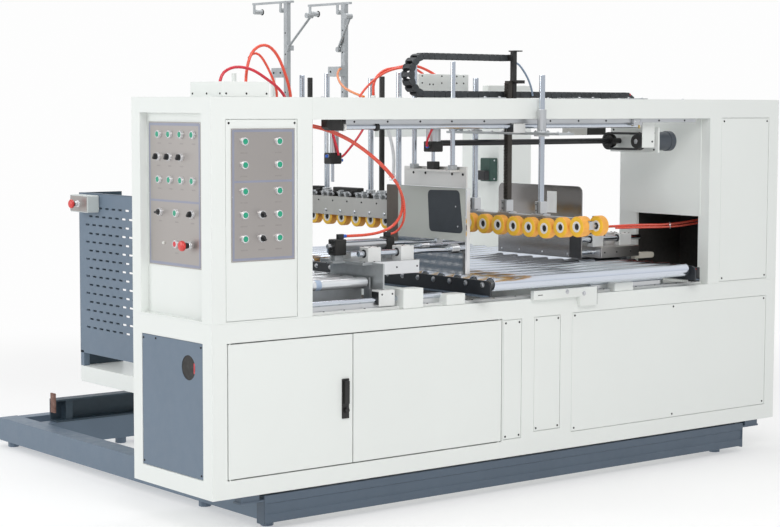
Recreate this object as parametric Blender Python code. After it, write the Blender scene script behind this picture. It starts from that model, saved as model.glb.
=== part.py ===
"""Carton folding and pressing machine: a white portal cabinet on a blue floor frame.

Blender 4.5, metres, +Z up. X runs along the cabinet's front, Y goes back into the machine.
Heights are given from the cabinet's bottom edge; the datum empty lifts them onto the feet.
"""
import math

import bmesh
import bpy
from mathutils import Matrix, Vector

# General.
GAP = 0.0003          # between two pieces that touch
RUN = 0.0005          # round a rod or pin that moves in its bore
DOOR_GAP = 0.005      # round a door leaf
SHEET = 0.003         # cover sheet

# Cabinet.
LEN = 3.156           # along the front
DEPTH = 0.567
BASE_H = 0.660        # lower cabinet; its top is the sill that the line stands on
CAB_H = 1.500         # to the top of the towers
RIM = 0.068           # painted border left round every panel
TOWER_L = 0.458       # width of the control tower
TOWER_R = 0.471       # width of the right tower
BEAM_H = 0.085        # top beams
BEAM_T = 0.080        # their thickness in Y
SEAM = 0.0025         # slit round a cover sheet
PANEL_TOP = BASE_H - 0.077      # top edge of the lower doors and panels
TOWER_SILL = BASE_H + 0.006     # lower edge of the upper panels
TOWER_TOP = CAB_H - 0.082       # upper edge of the upper panels
RECESS_Z1 = CAB_H - 0.060       # the side recess reaches higher
RECESS_Y0, RECESS_Y1 = 0.069, DEPTH - 0.062
RECESS_D = 0.033
PANEL_SINK = 0.006    # pockets that hold the cover sheets
DOOR_T = 0.020
DOOR_POCKET_D = DEPTH - 0.087
DOOR_X0, DOOR_SPLIT, DOOR_X1 = 0.066, 0.653, 1.433
PIN_IN, PIN_Y, PIN_R, PIN_L = 0.010, 0.006, 0.0035, 0.014   # pivot pins in the ends of the leaves
LOCK_X, LOCK_DROP = 0.614, 0.253        # the lock's centre, and its top below the panel's top
SERVICE_HOLE = (0.166, BASE_H - 0.176, 0.048)    # Y, Z and radius of the hole in the side panel
INNER_Y0, INNER_Y1, INNER_Z1 = 0.064, DEPTH - 0.112, BASE_H + 0.308   # openings in the inner walls
INNER_D = 0.300
INNER_PANEL_X = 0.077 # from the right tower's inner edge to its front panel
BACKING_X0, BACKING_X1 = 0.062, 0.388   # the control tower's front sheet
COVER_BOX = (0.060, 0.268, 0.012, 0.235, 0.056)     # box on the tower: X, Y and height

GLAND_R, GLAND_H = 0.011, 0.012
TOWER_GLANDS = ((0.382, 0.340), (0.232, 0.300))     # where hoses leave the control tower's top
BEAM_GLANDS_FRONT, BEAM_GLAND_Z = (0.580, 0.628), CAB_H - 0.045    # on the rear beam's front face
BEAM_GLANDS_TOP = (1.160, 1.540)

# Floor frame.
FRAME_H = 0.107       # height of the floor channels
RAIL_DROP = 0.008     # dark slit between cabinet and rail
FOOT_H = 0.030
FOOT_R = 0.026
RAIL_X0, RAIL_X1 = 0.233, 2.945
RAIL_T = 0.055
SIDE_BEAM_X, SIDE_BEAM_W = 0.258, 0.095
CROSS_W = 0.080
REAR_RAIL_Y, REAR_RAIL_W, REAR_RAIL_H = 1.950, 0.068, 0.106
FRAME_Y1 = REAR_RAIL_Y + 0.305
REAR_RAIL_X0 = 0.400
WEB_T = 0.008

# Rear of the machine.
REAR_Y = 1.710        # front face of the rear column and beam
COLUMN_X0 = 2.925
COLUMN_D = 0.300
LEG_X0 = 0.880
LEG_W = 0.200
REAR_BASE_H = 0.560
REAR_BEAM_H, REAR_BEAM_T = 0.075, 0.080
DROP_X0, DROP_X1, DROP_H = 2.100, 2.420, 0.190      # plate that hangs from the rear beam
HEAD_X, HEAD_W = 1.500, 0.150           # centre line and spread of the two head beams
HEAD_BEAM, HEAD_H, HEAD_DROP = 0.045, 0.060, 0.010  # their width, height and drop below the top
GUARD_X, GUARD_Y0, GUARD_Y1 = 0.420, DEPTH + 0.033, 1.750
GUARD_Z0, GUARD_Z1, GUARD_LOW = 0.284, 1.073, 0.345
GUARD_T, GUARD_POST, GUARD_END = 0.004, 0.030, 0.220
TABLE_BOX_H = 0.0715
TABLE_BOX_Z1 = GUARD_Z0 - 0.0005
TABLE_BOX_Z0 = TABLE_BOX_Z1 - TABLE_BOX_H
TABLE_BOX_W = 0.330

# Roller bed.
ROLLER_R = 0.030
ROLLER_PITCH = 0.105
ROLLER_Z = BASE_H + 0.077
ROLLER_Y0 = -0.020
ROLLER_X0, ROLLER_X1 = 1.345, 2.507
FRONT_ROLLERS = 4
ALL_ROLLERS = 18
AXLE_R = 0.008
AXLE_OUT = 0.005      # how far an axle stands out of its channel
CHANNEL_T = 0.010
CHANNEL_X0, CHANNEL_X1 = 1.303, 2.525   # outer face of the left channel, inner face of the right one
CHANNEL_Z0, CHANNEL_Z1 = BASE_H + 0.030, BASE_H + 0.095
CHANNEL_END = 0.048   # how far the channels reach past the last rollers
FLANGE_W, FLANGE_T = 0.030, 0.005

# Press wheels.
PRESS_X = 1.615
WHEEL_R, WHEEL_W = 0.042, 0.035
WHEEL_PITCH = 0.0960
WHEEL_Y0 = -0.320
WHEELS = 8
WHEEL_ROW = 0.055     # half the distance between the two rows
WHEEL_Z = BASE_H + 0.306
WHEEL_LIFT = (0.016, 0.009, 0.0)        # the first wheels stand a little higher
PRESS_BAR_Z, PRESS_BAR_T = WHEEL_Z + 0.037, 0.010
ROD_R = 0.0125
PRESS_RODS = (-0.032, 0.179, 0.390)
PRESS_ROD_TOPS = (CAB_H + 0.098, CAB_H + 0.075, CAB_H + 0.090)
RACK_W = 0.026        # the middle bar is a square rack
SOCKET_W, SOCKET_H = 0.038, 0.058
CARRIAGE_Z, CARRIAGE_T = CAB_H - 0.151, 0.010
SHAFT_R, SHAFT_Y, SHAFT_Z = 0.010, 0.050, CAB_H - 0.115
RAIL_STRIP = 0.017    # height of the strip under the front beam
SHAFT_LINE = (0.300, CAB_H - 0.188)     # Y and Z of the black drive shaft

# Chain over the front beam.
CHAIN_Y0, CHAIN_Y1 = 0.206, 0.262
CHAIN_LIFT = 0.003
CHAIN_IN, CHAIN_OUT = 0.064, 0.092      # radii of its bend
CHAIN_BEND_X, CHAIN_LOW_X = 1.190, 2.345

SEGMENTS = 12
BORE_SIDES = 12

WHITE = (0.86, 0.87, 0.85)
BLUE = (0.20, 0.25, 0.32)
STEEL = (0.62, 0.62, 0.60)
CHROME = (0.80, 0.81, 0.82)
BLACK = (0.03, 0.03, 0.035)
YELLOW = (0.95, 0.52, 0.05)
RED = (0.85, 0.10, 0.06)


def material(name, colour, metallic=0.0, roughness=0.45):
    mat = bpy.data.materials.get(name)
    if mat is None:
        mat = bpy.data.materials.new(name)
        mat.use_nodes = True
        shader = mat.node_tree.nodes["Principled BSDF"]
        shader.inputs["Base Color"].default_value = (*colour, 1.0)
        shader.inputs["Metallic"].default_value = metallic
        shader.inputs["Roughness"].default_value = roughness
    return mat


def paint():
    return material("white_paint", WHITE, 0.0, 0.40)


def blue():
    return material("blue_grey_paint", BLUE, 0.0, 0.45)


def steel():
    return material("brushed_steel", STEEL, 1.0, 0.35)


def rubber():
    return material("red_hose", RED, 0.0, 0.30)


def chrome():
    return material("ground_shaft", CHROME, 1.0, 0.15)


def black():
    return material("black_anodised", BLACK, 0.2, 0.45)


# Shapes.
def mesh_object(name, bm):
    bmesh.ops.recalc_face_normals(bm, faces=bm.faces)
    mesh = bpy.data.meshes.new(name)
    bm.to_mesh(mesh)
    bm.free()
    obj = bpy.data.objects.new(name, mesh)
    bpy.context.scene.collection.objects.link(obj)
    return obj


def block(x0, x1, y0, y1, z0, z1):
    """A box between two corners."""
    bm = bmesh.new()
    bmesh.ops.create_cube(bm, size=1.0)
    centre = Vector(((x0 + x1) / 2, (y0 + y1) / 2, (z0 + z1) / 2))
    bmesh.ops.scale(bm, vec=(x1 - x0, y1 - y0, z1 - z0), verts=bm.verts)
    bmesh.ops.translate(bm, vec=centre, verts=bm.verts)
    return mesh_object("block", bm)


def rod(start, end, radius, segments=SEGMENTS, radius2=None):
    """A round bar from start to end; the flats face the axes."""
    start, end = Vector(start), Vector(end)
    axis = end - start
    bm = bmesh.new()
    bmesh.ops.create_cone(bm, cap_ends=True, segments=segments, radius1=radius,
                          radius2=radius if radius2 is None else radius2, depth=axis.length)
    bmesh.ops.rotate(bm, matrix=Matrix.Rotation(math.pi / segments, 3, "Z"), verts=bm.verts)
    turn = axis.to_track_quat("Z", "Y").to_matrix()
    bmesh.ops.rotate(bm, matrix=turn, verts=bm.verts)
    bmesh.ops.translate(bm, vec=(start + end) / 2, verts=bm.verts)
    return mesh_object("rod", bm)


def profile(points, axis, start, end):
    """Extrude a closed outline along an axis; the outline lies in the other two."""
    order = {"X": (2, 0, 1), "Y": (0, 2, 1), "Z": (0, 1, 2)}[axis]
    bm = bmesh.new()
    verts = []
    for a, b in points:
        flat = (a, b, start)
        verts.append(bm.verts.new([flat[i] for i in order]))
    face = bm.faces.new(verts)
    moved = bmesh.ops.extrude_face_region(bm, geom=[face])["geom"]
    shift = [0.0, 0.0, 0.0]
    shift["XYZ".index(axis)] = end - start
    new_verts = [g for g in moved if isinstance(g, bmesh.types.BMVert)]
    bmesh.ops.translate(bm, vec=shift, verts=new_verts)
    return mesh_object("profile", bm)


def bore(start, end, radius):
    """A hole for a round bar, wide enough between its flats for the bar to turn in it."""
    return rod(start, end, (radius + RUN) / math.cos(math.pi / BORE_SIDES), BORE_SIDES)


def arc(centre, radius, first, last, steps):
    """Points along an arc, angles in degrees."""
    points = []
    for i in range(steps + 1):
        a = math.radians(first + (last - first) * i / steps)
        points.append((centre[0] + radius * math.cos(a), centre[1] + radius * math.sin(a)))
    return points


def merge(parts, cuts=()):
    """Join closed parts into one body and take the cuts out of it."""
    body = parts[0]
    groups = (("UNION", parts[1:]), ("DIFFERENCE", list(cuts)))
    for operation, tools in groups:
        if not tools:
            continue
        collection = bpy.data.collections.new(operation)
        for tool in tools:
            collection.objects.link(tool)
        step = body.modifiers.new(operation, "BOOLEAN")
        step.operation = operation
        step.solver = "EXACT"
        step.operand_type = "COLLECTION"
        step.collection = collection
    bpy.context.view_layer.update()
    graph = bpy.context.evaluated_depsgraph_get()
    mesh = bpy.data.meshes.new_from_object(body.evaluated_get(graph))
    body.modifiers.clear()
    body.data = mesh
    for tool in list(parts[1:]) + list(cuts):
        bpy.data.objects.remove(tool)
    return body


def fuse(name, mat, parts, cuts=(), smooth=False):
    """Merge parts and cuts into the named body of one node."""
    body = merge(parts, cuts)
    mesh = body.data
    tidy(mesh)
    body.name = name
    mesh.name = name
    mesh.materials.clear()
    mesh.materials.append(mat)
    if smooth:
        mesh.shade_smooth()
        mesh.set_sharp_from_angle(angle=math.radians(35))
    body.parent = DATUM
    return body


def tidy(mesh):
    """Dissolve the extra points that a Boolean leaves on flat faces."""
    bm = bmesh.new()
    bm.from_mesh(mesh)
    bmesh.ops.remove_doubles(bm, verts=bm.verts, dist=0.00001)
    bmesh.ops.dissolve_limit(bm, angle_limit=math.radians(0.5), verts=bm.verts,
                             edges=bm.edges, delimit={"NORMAL"})
    bmesh.ops.triangulate(bm, faces=[f for f in bm.faces if len(f.verts) > 4])
    bm.to_mesh(mesh)
    bm.free()


def pivot(obj, point):
    """Put an object's origin on its joint axis without moving its shape."""
    point = Vector(point)
    obj.data.transform(Matrix.Translation(-point))
    obj.location = point


# Floor frame.
def foot(x, y):
    top = -RAIL_DROP - FRAME_H
    return rod((x, y, top - FOOT_H), (x, y, top + 0.004), FOOT_R, 8)


def floor_frame():
    z1 = -RAIL_DROP
    z0 = z1 - FRAME_H
    lip = 0.012
    outline = [(0.0, z0), (RAIL_T, z0), (RAIL_T, z0 + lip), (WEB_T + 0.006, z0 + lip),
               (WEB_T + 0.006, z1 - lip), (RAIL_T, z1 - lip), (RAIL_T, z1), (0.0, z1),
               (0.0, z1 - 0.030), (0.004, z1 - 0.034), (0.004, z0 + 0.036), (0.0, z0 + 0.032)]
    rail = profile(outline, "X", RAIL_X0 + 0.006, RAIL_X1 - 0.006)
    ends = [block(x, x + 0.006, 0.0, RAIL_T, z0 - 0.006, z1) for x in (RAIL_X0, RAIL_X1 - 0.006)]
    lugs = []
    for x, way in ((RAIL_X0, -1), (RAIL_X1, 1)):
        x0, x1 = sorted((x + way * 0.110, x - way * 0.001))
        lugs.append(block(x0, x1, 0.002, 0.052, z1 - 0.022, z1 - 0.014))
        x0, x1 = sorted((x + way * 0.105, x + way * 0.020))
        lugs.append(block(x0, x1, 0.004, 0.048, z1 - 0.0145, -GAP))
    fuse("floor_rail_front", blue(), [rail] + ends + lugs)

    y0 = RAIL_T + GAP
    parts = []
    for x0 in (SIDE_BEAM_X, LEN - SIDE_BEAM_X - SIDE_BEAM_W):
        x1 = x0 + SIDE_BEAM_W
        parts.append(block(x0, x1, y0, FRAME_Y1, z0, z1))
        parts.append(block(x0 + 0.010, x1 - 0.010, 0.100, DEPTH - 0.060, z1 - 0.001, -GAP))
        parts += [foot((x0 + x1) / 2, y) for y in (0.090, 0.530, 2.200)]
    x0 = SIDE_BEAM_X + SIDE_BEAM_W - 0.010
    x1 = LEN - x0
    for y in (REAR_RAIL_Y, FRAME_Y1 - CROSS_W):
        parts.append(block(x0, x1, y, y + REAR_RAIL_W, z0, z1))
    for x in (0.760, LEN - 0.760):
        parts.append(foot(x, REAR_RAIL_Y + REAR_RAIL_W / 2))
    fuse("floor_frame", blue(), parts)


def rear_rail():
    z0 = -RAIL_DROP + GAP
    z1 = z0 + REAR_RAIL_H
    y0, y1 = REAR_RAIL_Y, REAR_RAIL_Y + REAR_RAIL_W
    x0, x1 = REAR_RAIL_X0, LEN - REAR_RAIL_X0
    outline = [(y0, z0), (y1, z0), (y1, z1), (y0, z1), (y0, z1 - WEB_T), (y1 - WEB_T, z1 - WEB_T),
               (y1 - WEB_T, z0 + WEB_T), (y0, z0 + WEB_T)]
    channel = profile(outline, "X", x0, x1)
    ribs = []
    for x in (x0 + 0.055, (x0 + x1) / 2, x1 - 0.063):
        ribs.append(block(x, x + 0.035, y0 + 0.012, y1 - 0.004, z0 + 0.004, z1 - 0.004))
    fuse("rear_rail", blue(), [channel] + ribs)
    rust = material("rusty_plate", (0.36, 0.22, 0.17), 0.3, 0.8)
    fuse("rail_stop", rust, [block(x0 - 0.008, x0 - GAP, y0 + 0.004, y0 + 0.044, z0 + 0.045, z1 + 0.030)])


# Cabinet.
def base_cabinet():
    body = block(0, LEN, 0, DEPTH, 0, BASE_H)
    y_hole, z_hole, r_hole = SERVICE_HOLE
    cuts = [
        block(DOOR_X0, DOOR_X1, -0.01, DOOR_POCKET_D, RIM, PANEL_TOP + 0.003),
        block(-0.01, PANEL_SINK, RIM - 0.004, DEPTH - RIM + 0.002, RIM, PANEL_TOP + 0.002),
        rod((-0.01, y_hole, z_hole), (0.060, y_hole, z_hole), r_hole + 0.004, 16)]
    for x0, x1, z0, z1 in FRONT_SHEETS.values():
        cuts.append(block(x0, x1, -0.01, PANEL_SINK, z0, z1))
    cabinet = merge([body], cuts)
    fuse("base_cabinet", paint(), [cabinet] + door_pins(PIN_R, PIN_L, 0.004))


def door_pins(radius, length, root):
    """The four pivot pins, or with a larger radius the bores for them."""
    pins = []
    for x in (DOOR_X0 + DOOR_GAP + PIN_IN, DOOR_X1 - DOOR_GAP - PIN_IN):
        pins.append(rod((x, PIN_Y, RIM - root), (x, PIN_Y, RIM + length), radius, 8))
        top = PANEL_TOP + 0.003
        pins.append(rod((x, PIN_Y, top - length), (x, PIN_Y, top + root), radius, 8))
    return pins


FRONT_SHEETS = {
    "narrow_panel_left": (1.439, 1.543, RIM + 0.006, PANEL_TOP - 0.003),
    "narrow_panel_right": (1.613, 1.766, RIM + 0.024, PANEL_TOP - 0.001),
    "front_lower_panel": (1.832, LEN - 0.064, RIM, PANEL_TOP + 0.003),
}


def sheet(name, mat, x0, x1, z0, z1):
    """A cover sheet that sits nearly flush in its pocket in the front."""
    fuse(name, mat, [block(x0 + SEAM, x1 - SEAM, 0.001, PANEL_SINK - GAP, z0 + SEAM, z1 - SEAM)])


def sheets():
    for name, (x0, x1, z0, z1) in FRONT_SHEETS.items():
        sheet(name, paint(), x0, x1, z0, z1)
    y_hole, z_hole, r_hole = SERVICE_HOLE
    panel = block(0.0015, PANEL_SINK - GAP, RIM - 0.0015, DEPTH - RIM, RIM + SEAM, PANEL_TOP)
    fuse("side_lower_panel", blue(), [panel],
         [rod((-0.01, y_hole, z_hole), (0.02, y_hole, z_hole), r_hole, 20)])
    sheet("right_tower_front_panel", paint(), LEN - TOWER_R + INNER_PANEL_X, LEN - RIM + 0.002,
          TOWER_SILL, TOWER_TOP)
    sheet("front_backing_panel", paint(), BACKING_X0, BACKING_X1, TOWER_SILL, TOWER_TOP)


def towers():
    z0 = BASE_H + GAP
    body = block(0, TOWER_L, 0, DEPTH, z0, CAB_H)
    cuts = [block(-0.01, RECESS_D, RECESS_Y0, RECESS_Y1, TOWER_SILL, RECESS_Z1),
            block(BACKING_X0, BACKING_X1, -0.01, PANEL_SINK, TOWER_SILL, TOWER_TOP),
            block(TOWER_L - INNER_D, TOWER_L + 0.01, INNER_Y0, INNER_Y1, TOWER_SILL, INNER_Z1)]
    glands = [rod((x, y, CAB_H - 0.002), (x, y, CAB_H + GLAND_H), GLAND_R, 6) for x, y in TOWER_GLANDS]
    fuse("left_tower", paint(), [body] + glands, cuts)
    x0 = LEN - TOWER_R
    body = block(x0, LEN, 0, DEPTH, z0, CAB_H)
    cuts = [block(x0 + INNER_PANEL_X, LEN - RIM + 0.002, -0.01, PANEL_SINK, TOWER_SILL, TOWER_TOP),
            block(x0 - 0.01, x0 + INNER_D, INNER_Y0, INNER_Y1, TOWER_SILL, INNER_Z1)]
    inner_panel = block(x0 - SHEET, x0 + SHEET, 0.052, DEPTH - 0.067, INNER_Z1, CAB_H - BEAM_H - 0.003)
    fuse("right_tower", paint(), [body, inner_panel], cuts)
    x0, x1, y0, y1, height = COVER_BOX
    fuse("top_cover_box", paint(), [block(x0, x1, y0, y1, CAB_H + GAP, CAB_H + height)])


def top_beams():
    """Front and rear beams between the towers, with the two ties that carry the heads."""
    x0, x1 = TOWER_L + GAP, LEN - TOWER_R - GAP
    z0 = CAB_H - BEAM_H
    fuse("top_front_beam", paint(), [block(x0, x1, 0, BEAM_T, z0, CAB_H)])
    y, z = DEPTH - BEAM_T, BEAM_GLAND_Z
    glands = [rod((x, y + 0.002, z), (x, y - GLAND_H, z), GLAND_R, 6) for x in BEAM_GLANDS_FRONT]
    y = DEPTH - BEAM_T / 2
    glands += [rod((x, y, CAB_H - 0.002), (x, y, CAB_H + GLAND_H), GLAND_R, 6) for x in BEAM_GLANDS_TOP]
    fuse("top_rear_beam", paint(), [block(x0, x1, DEPTH - BEAM_T, DEPTH, z0, CAB_H)] + glands)
    y0, y1 = BEAM_T + GAP, DEPTH - BEAM_T - GAP
    for name, x in (("head_tie", FLAP_X + TIE_IN), ("drive_tie", BELT_X + BELT_TO_PLATE + 0.005)):
        tie = [block(x - TIE_W / 2, x + TIE_W / 2, y0, y1, z0 + TIE_UP, CAB_H - 0.012)]
        bores = []
        if name == "head_tie":
            y, z = SHAFT_LINE
            tie.append(block(x - 0.002, x + 0.018, y - 0.025, y + 0.025, z - 0.025, z0 + TIE_UP + 0.004))
            bores.append(bore((x - 0.01, y, z), (x + 0.03, y, z), 0.0125))
        fuse(name, paint(), tie, bores)


def doors():
    z0, z1 = RIM + DOOR_GAP, PANEL_TOP + 0.003 - DOOR_GAP
    half = DOOR_GAP / 2
    left_axis = (DOOR_X0 + DOOR_GAP + PIN_IN, PIN_Y, z0)
    bores = door_pins(PIN_R + RUN, PIN_L + 0.002, 0.004)
    left = fuse("left_door", paint(),
                [block(DOOR_X0 + DOOR_GAP, DOOR_SPLIT - half, 0.0, DOOR_T, z0, z1)], bores[:2])
    pivot(left, left_axis)
    right = fuse("right_door", paint(),
                 [block(DOOR_SPLIT + half, DOOR_X1 - DOOR_GAP, 0.0, DOOR_T, z0, z1)], bores[2:])
    pivot(right, (DOOR_X1 - DOOR_GAP - PIN_IN, PIN_Y, z0))
    x, z = LOCK_X, PANEL_TOP - LOCK_DROP
    lock = block(x - 0.016, x + 0.016, -0.006, -GAP, z - 0.078, z + 0.078)
    grip = block(x - 0.011, x + 0.011, -0.016, -0.005, z - 0.020, z + 0.070)
    barrel = rod((x, -0.018, z - 0.045), (x, -0.005, z - 0.045), 0.010, 12)
    lock = fuse("door_lock", black(), [lock, grip, barrel])
    pivot(lock, left_axis)


# Control panels.
SIDE_PLATE = (0.117, DEPTH - 0.078, CAB_H - 0.645, CAB_H - 0.095)    # Y and Z of the side plate
FRONT_PLATE = (0.087, 0.374, CAB_H - 0.612, CAB_H - 0.117)           # X and Z of the front plate
SIDE_ROWS = {     # below the cabinet's top: places along the row
    0.142: (0.410, 0.331, 0.250, 0.166), 0.228: (0.416, 0.335, 0.251),
    0.315: (0.409, 0.329, 0.247, 0.166), 0.440: (0.404, 0.287, 0.176),
    0.558: (0.380, 0.288)}
STOP_Y, STOP_DOWN = 0.194, 0.558
FRONT_COLUMNS, MIDDLE_COLUMN = (0.143, 0.298), 0.221
FRONT_ROWS = (0.165, 0.252, 0.350, 0.438, 0.527)
BEZEL_R, BEZEL_L = 0.015, 0.012
STOP_REACH = 0.048    # how far the stop button's head stands out


def side_control_panel():
    x0 = RECESS_D - SHEET - GAP
    y0, y1, z0, z1 = SIDE_PLATE
    parts = [block(x0, RECESS_D - GAP, y0, y1, z0, z1)]
    for down, places in SIDE_ROWS.items():
        z = CAB_H - down
        for y in places:
            parts.append(rod((x0 - BEZEL_L, y, z), (x0 + 0.001, y, z), BEZEL_R, 8))
    y, z = STOP_Y, CAB_H - STOP_DOWN
    parts.append(rod((x0 - 0.030, y, z), (x0 + 0.001, y, z), 0.012, 10))
    parts.append(rod((x0 - STOP_REACH, y, z), (x0 - 0.029, y, z), 0.020, 12))
    fuse("side_control_panel", steel(), parts)


def front_control_panel():
    y1 = 0.001 - GAP
    x0, x1, z0, z1 = FRONT_PLATE
    parts = [block(x0, x1, y1 - SHEET, y1, z0, z1)]
    places = [(x, down) for x in FRONT_COLUMNS for down in FRONT_ROWS]
    places += [(MIDDLE_COLUMN, down) for down in FRONT_ROWS[3:]]
    for x, down in places:
        z = CAB_H - down
        parts.append(rod((x, y1 - SHEET - BEZEL_L, z), (x, y1 - SHEET + 0.001, z), BEZEL_R, 8))
    fuse("front_control_panel", steel(), parts)


# Rear structure.
def rear_structure():
    z0 = -RAIL_DROP + REAR_RAIL_H + 2 * GAP
    y1 = REAR_Y + COLUMN_D
    fuse("rear_base", paint(), [block(LEG_X0, LEN, REAR_Y, y1, z0, REAR_BASE_H)])
    z0 = REAR_BASE_H + GAP
    column = block(COLUMN_X0, LEN, REAR_Y, y1, z0, CAB_H)
    leg = block(LEG_X0, LEG_X0 + LEG_W, REAR_Y, y1, z0, CAB_H)
    beam = block(LEG_X0 + 0.01, LEN - 0.01, REAR_Y, REAR_Y + REAR_BEAM_T, CAB_H - REAR_BEAM_H, CAB_H)
    drop = block(DROP_X0, DROP_X1, REAR_Y, REAR_Y + 0.020, CAB_H - DROP_H, CAB_H - REAR_BEAM_H + 0.005)
    z1 = CAB_H - HEAD_DROP
    heads = []
    for x in (HEAD_X - HEAD_W / 2, HEAD_X + HEAD_W / 2):
        heads.append(block(x - HEAD_BEAM / 2, x + HEAD_BEAM / 2, DEPTH + GAP, y1 + 0.150, z1 - HEAD_H, z1))
    for y in sorted(INFEED_RODS) + [DEPTH + 0.050, FIXED_SPINDLES[1]]:
        heads.append(block(HEAD_X - HEAD_W / 2, HEAD_X + HEAD_W / 2, y - 0.028, y + 0.028,
                           z1 - HEAD_H + 0.010, z1 - 0.010))
    for y in FIXED_SPINDLES:
        heads.append(rod((HEAD_X, y, z1 - HEAD_H), (HEAD_X, y, CAB_H + 0.128), ROD_R, SEGMENTS))
    fuse("rear_gantry", paint(), [column, leg, beam, drop] + heads, head_bores())


def head_bores():
    """Clearance holes for the infeed press rods."""
    return [bore((INFEED_X, y, CAB_H - 0.12), (INFEED_X, y, CAB_H + 0.05), ROD_R) for y in INFEED_RODS]


def infeed_side():
    x0 = GUARD_X
    box = block(x0, x0 + TABLE_BOX_W, GUARD_Y0, GUARD_Y1, TABLE_BOX_Z0, TABLE_BOX_Z1)
    arm = block(x0 + TABLE_BOX_W - 0.01, LEG_X0 + 0.10, GUARD_Y1 - 0.10, REAR_Y - GAP,
                TABLE_BOX_Z0, TABLE_BOX_Z1)
    fuse("infeed_table_box", paint(), [box, arm])
    z0 = TABLE_BOX_Z1 + GAP
    side = block(x0, x0 + GUARD_T, GUARD_Y0, GUARD_Y1, GUARD_LOW, GUARD_Z1)
    post = block(x0, x0 + GUARD_POST, GUARD_Y1 - GUARD_POST, GUARD_Y1 - 0.0005, z0, GUARD_Z1)
    post2 = block(x0, x0 + GUARD_POST, GUARD_Y0, GUARD_Y0 + GUARD_POST, z0, GUARD_Z1)
    end = block(x0 + 0.001, x0 + GUARD_END, GUARD_Y1 - GUARD_T, GUARD_Y1, z0, GUARD_Z1)
    fuse("infeed_guard", blue(), [side, post, post2, end])
    y, z = GUARD_Y1 - 0.1045, GUARD_Z1 - 0.045
    stop = block(x0 - 0.062, x0 - GAP, y - 0.0785, y + 0.0785, z - 0.038, z + 0.038)
    neck = rod((x0 - 0.080, y, z), (x0 - 0.061, y, z), 0.011, 10)
    knob = rod((x0 - 0.098, y, z), (x0 - 0.079, y, z), 0.020, 12)
    fuse("guard_stop_box", paint(), [stop, neck, knob])


# Rollers.
def roller(x0, x1, y, z, axle_x0, axle_x1, radius=ROLLER_R, sides=10):
    """One conveyor roller with its axle."""
    tube = rod((x0, y, z), (x1, y, z), radius, sides)
    axle = rod((axle_x0, y, z), (axle_x1, y, z), AXLE_R, sides - 4)
    return [tube, axle]


def roller_bed():
    y_front = ROLLER_Y0 - CHANNEL_END
    y_back = ROLLER_Y0 + ROLLER_PITCH * (ALL_ROLLERS - 1) + CHANNEL_END
    parts = []
    for x0, way in ((CHANNEL_X0, -1), (CHANNEL_X1, 1)):
        parts.append(block(x0, x0 + CHANNEL_T, y_front, y_back, CHANNEL_Z0, CHANNEL_Z1))
        flange = sorted((x0 + CHANNEL_T / 2, x0 + CHANNEL_T / 2 + way * (CHANNEL_T / 2 + FLANGE_W)))
        parts.append(block(*flange, y_front + 0.008, y_back - 0.008, CHANNEL_Z0, CHANNEL_Z0 + FLANGE_T))
    x = CHANNEL_X1 + CHANNEL_T + FLANGE_W
    parts.append(block(x - 0.002, x + 0.030, -0.035, 0.010,
                       CHANNEL_Z0 - 0.010, CHANNEL_Z0 + FLANGE_T + 0.004))
    parts.append(block(x + 0.010, x + 0.030, -0.035, 0.010, CHANNEL_Z0, CHANNEL_Z1 - 0.010))
    x0, x1 = CHANNEL_X0 + CHANNEL_T - 0.002, CHANNEL_X1 + 0.002
    for y in (DEPTH - 0.217, (y_front + y_back) / 2 + 0.225, y_back - 0.060):
        parts.append(block(x0, x1, y - 0.015, y + 0.015, CHANNEL_Z0, CHANNEL_Z0 + 0.012))
    for i in range(FRONT_ROLLERS, ALL_ROLLERS):
        parts += roller(ROLLER_X0, ROLLER_X1, ROLLER_Y0 + i * ROLLER_PITCH, ROLLER_Z, x0, x1)
    x0, x1 = CHANNEL_X0 - 0.016, CHANNEL_X1 + CHANNEL_T + 0.016
    parts.append(block(x0, x1, 0.150, 0.190, BASE_H + GAP, CHANNEL_Z0 + 0.002))
    for x in (x0, x1 - 0.030):
        parts.append(block(x, x + 0.030, REAR_Y + 0.02, REAR_Y + 0.08, REAR_BASE_H + GAP, CHANNEL_Z0 + 0.003))
    x0, x1 = CHANNEL_X0 - AXLE_OUT, CHANNEL_X1 + CHANNEL_T + AXLE_OUT
    places = [(ROLLER_Y0 + i * ROLLER_PITCH, ROLLER_Z) for i in range(FRONT_ROLLERS)]
    cuts = [bore((x0 - 0.03, y, z), (x1 + 0.002, y, z), AXLE_R) for y, z in places]
    fuse("roller_bed", steel(), parts, cuts)
    for i, (y, z) in enumerate(places):
        solids = roller(ROLLER_X0, ROLLER_X1, y, z, x0, x1, sides=SEGMENTS)
        piece = fuse(f"outfeed_roller_{i + 1}", chrome(), solids, smooth=True)
        pivot(piece, (0, y, z))


SILL_SHAFT = (0.055, BASE_H + 0.040)    # Y and Z of the shaft along the sill
SILL_SHAFT_R = 0.011
SILL_POSTS = ((0.901, 1.012, 0.080), (1.125, 1.232, 0.029), (2.093, 2.207, 0.038))   # X and height
SLIDE_X0, SLIDE_X1 = 0.806, 0.886


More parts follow.
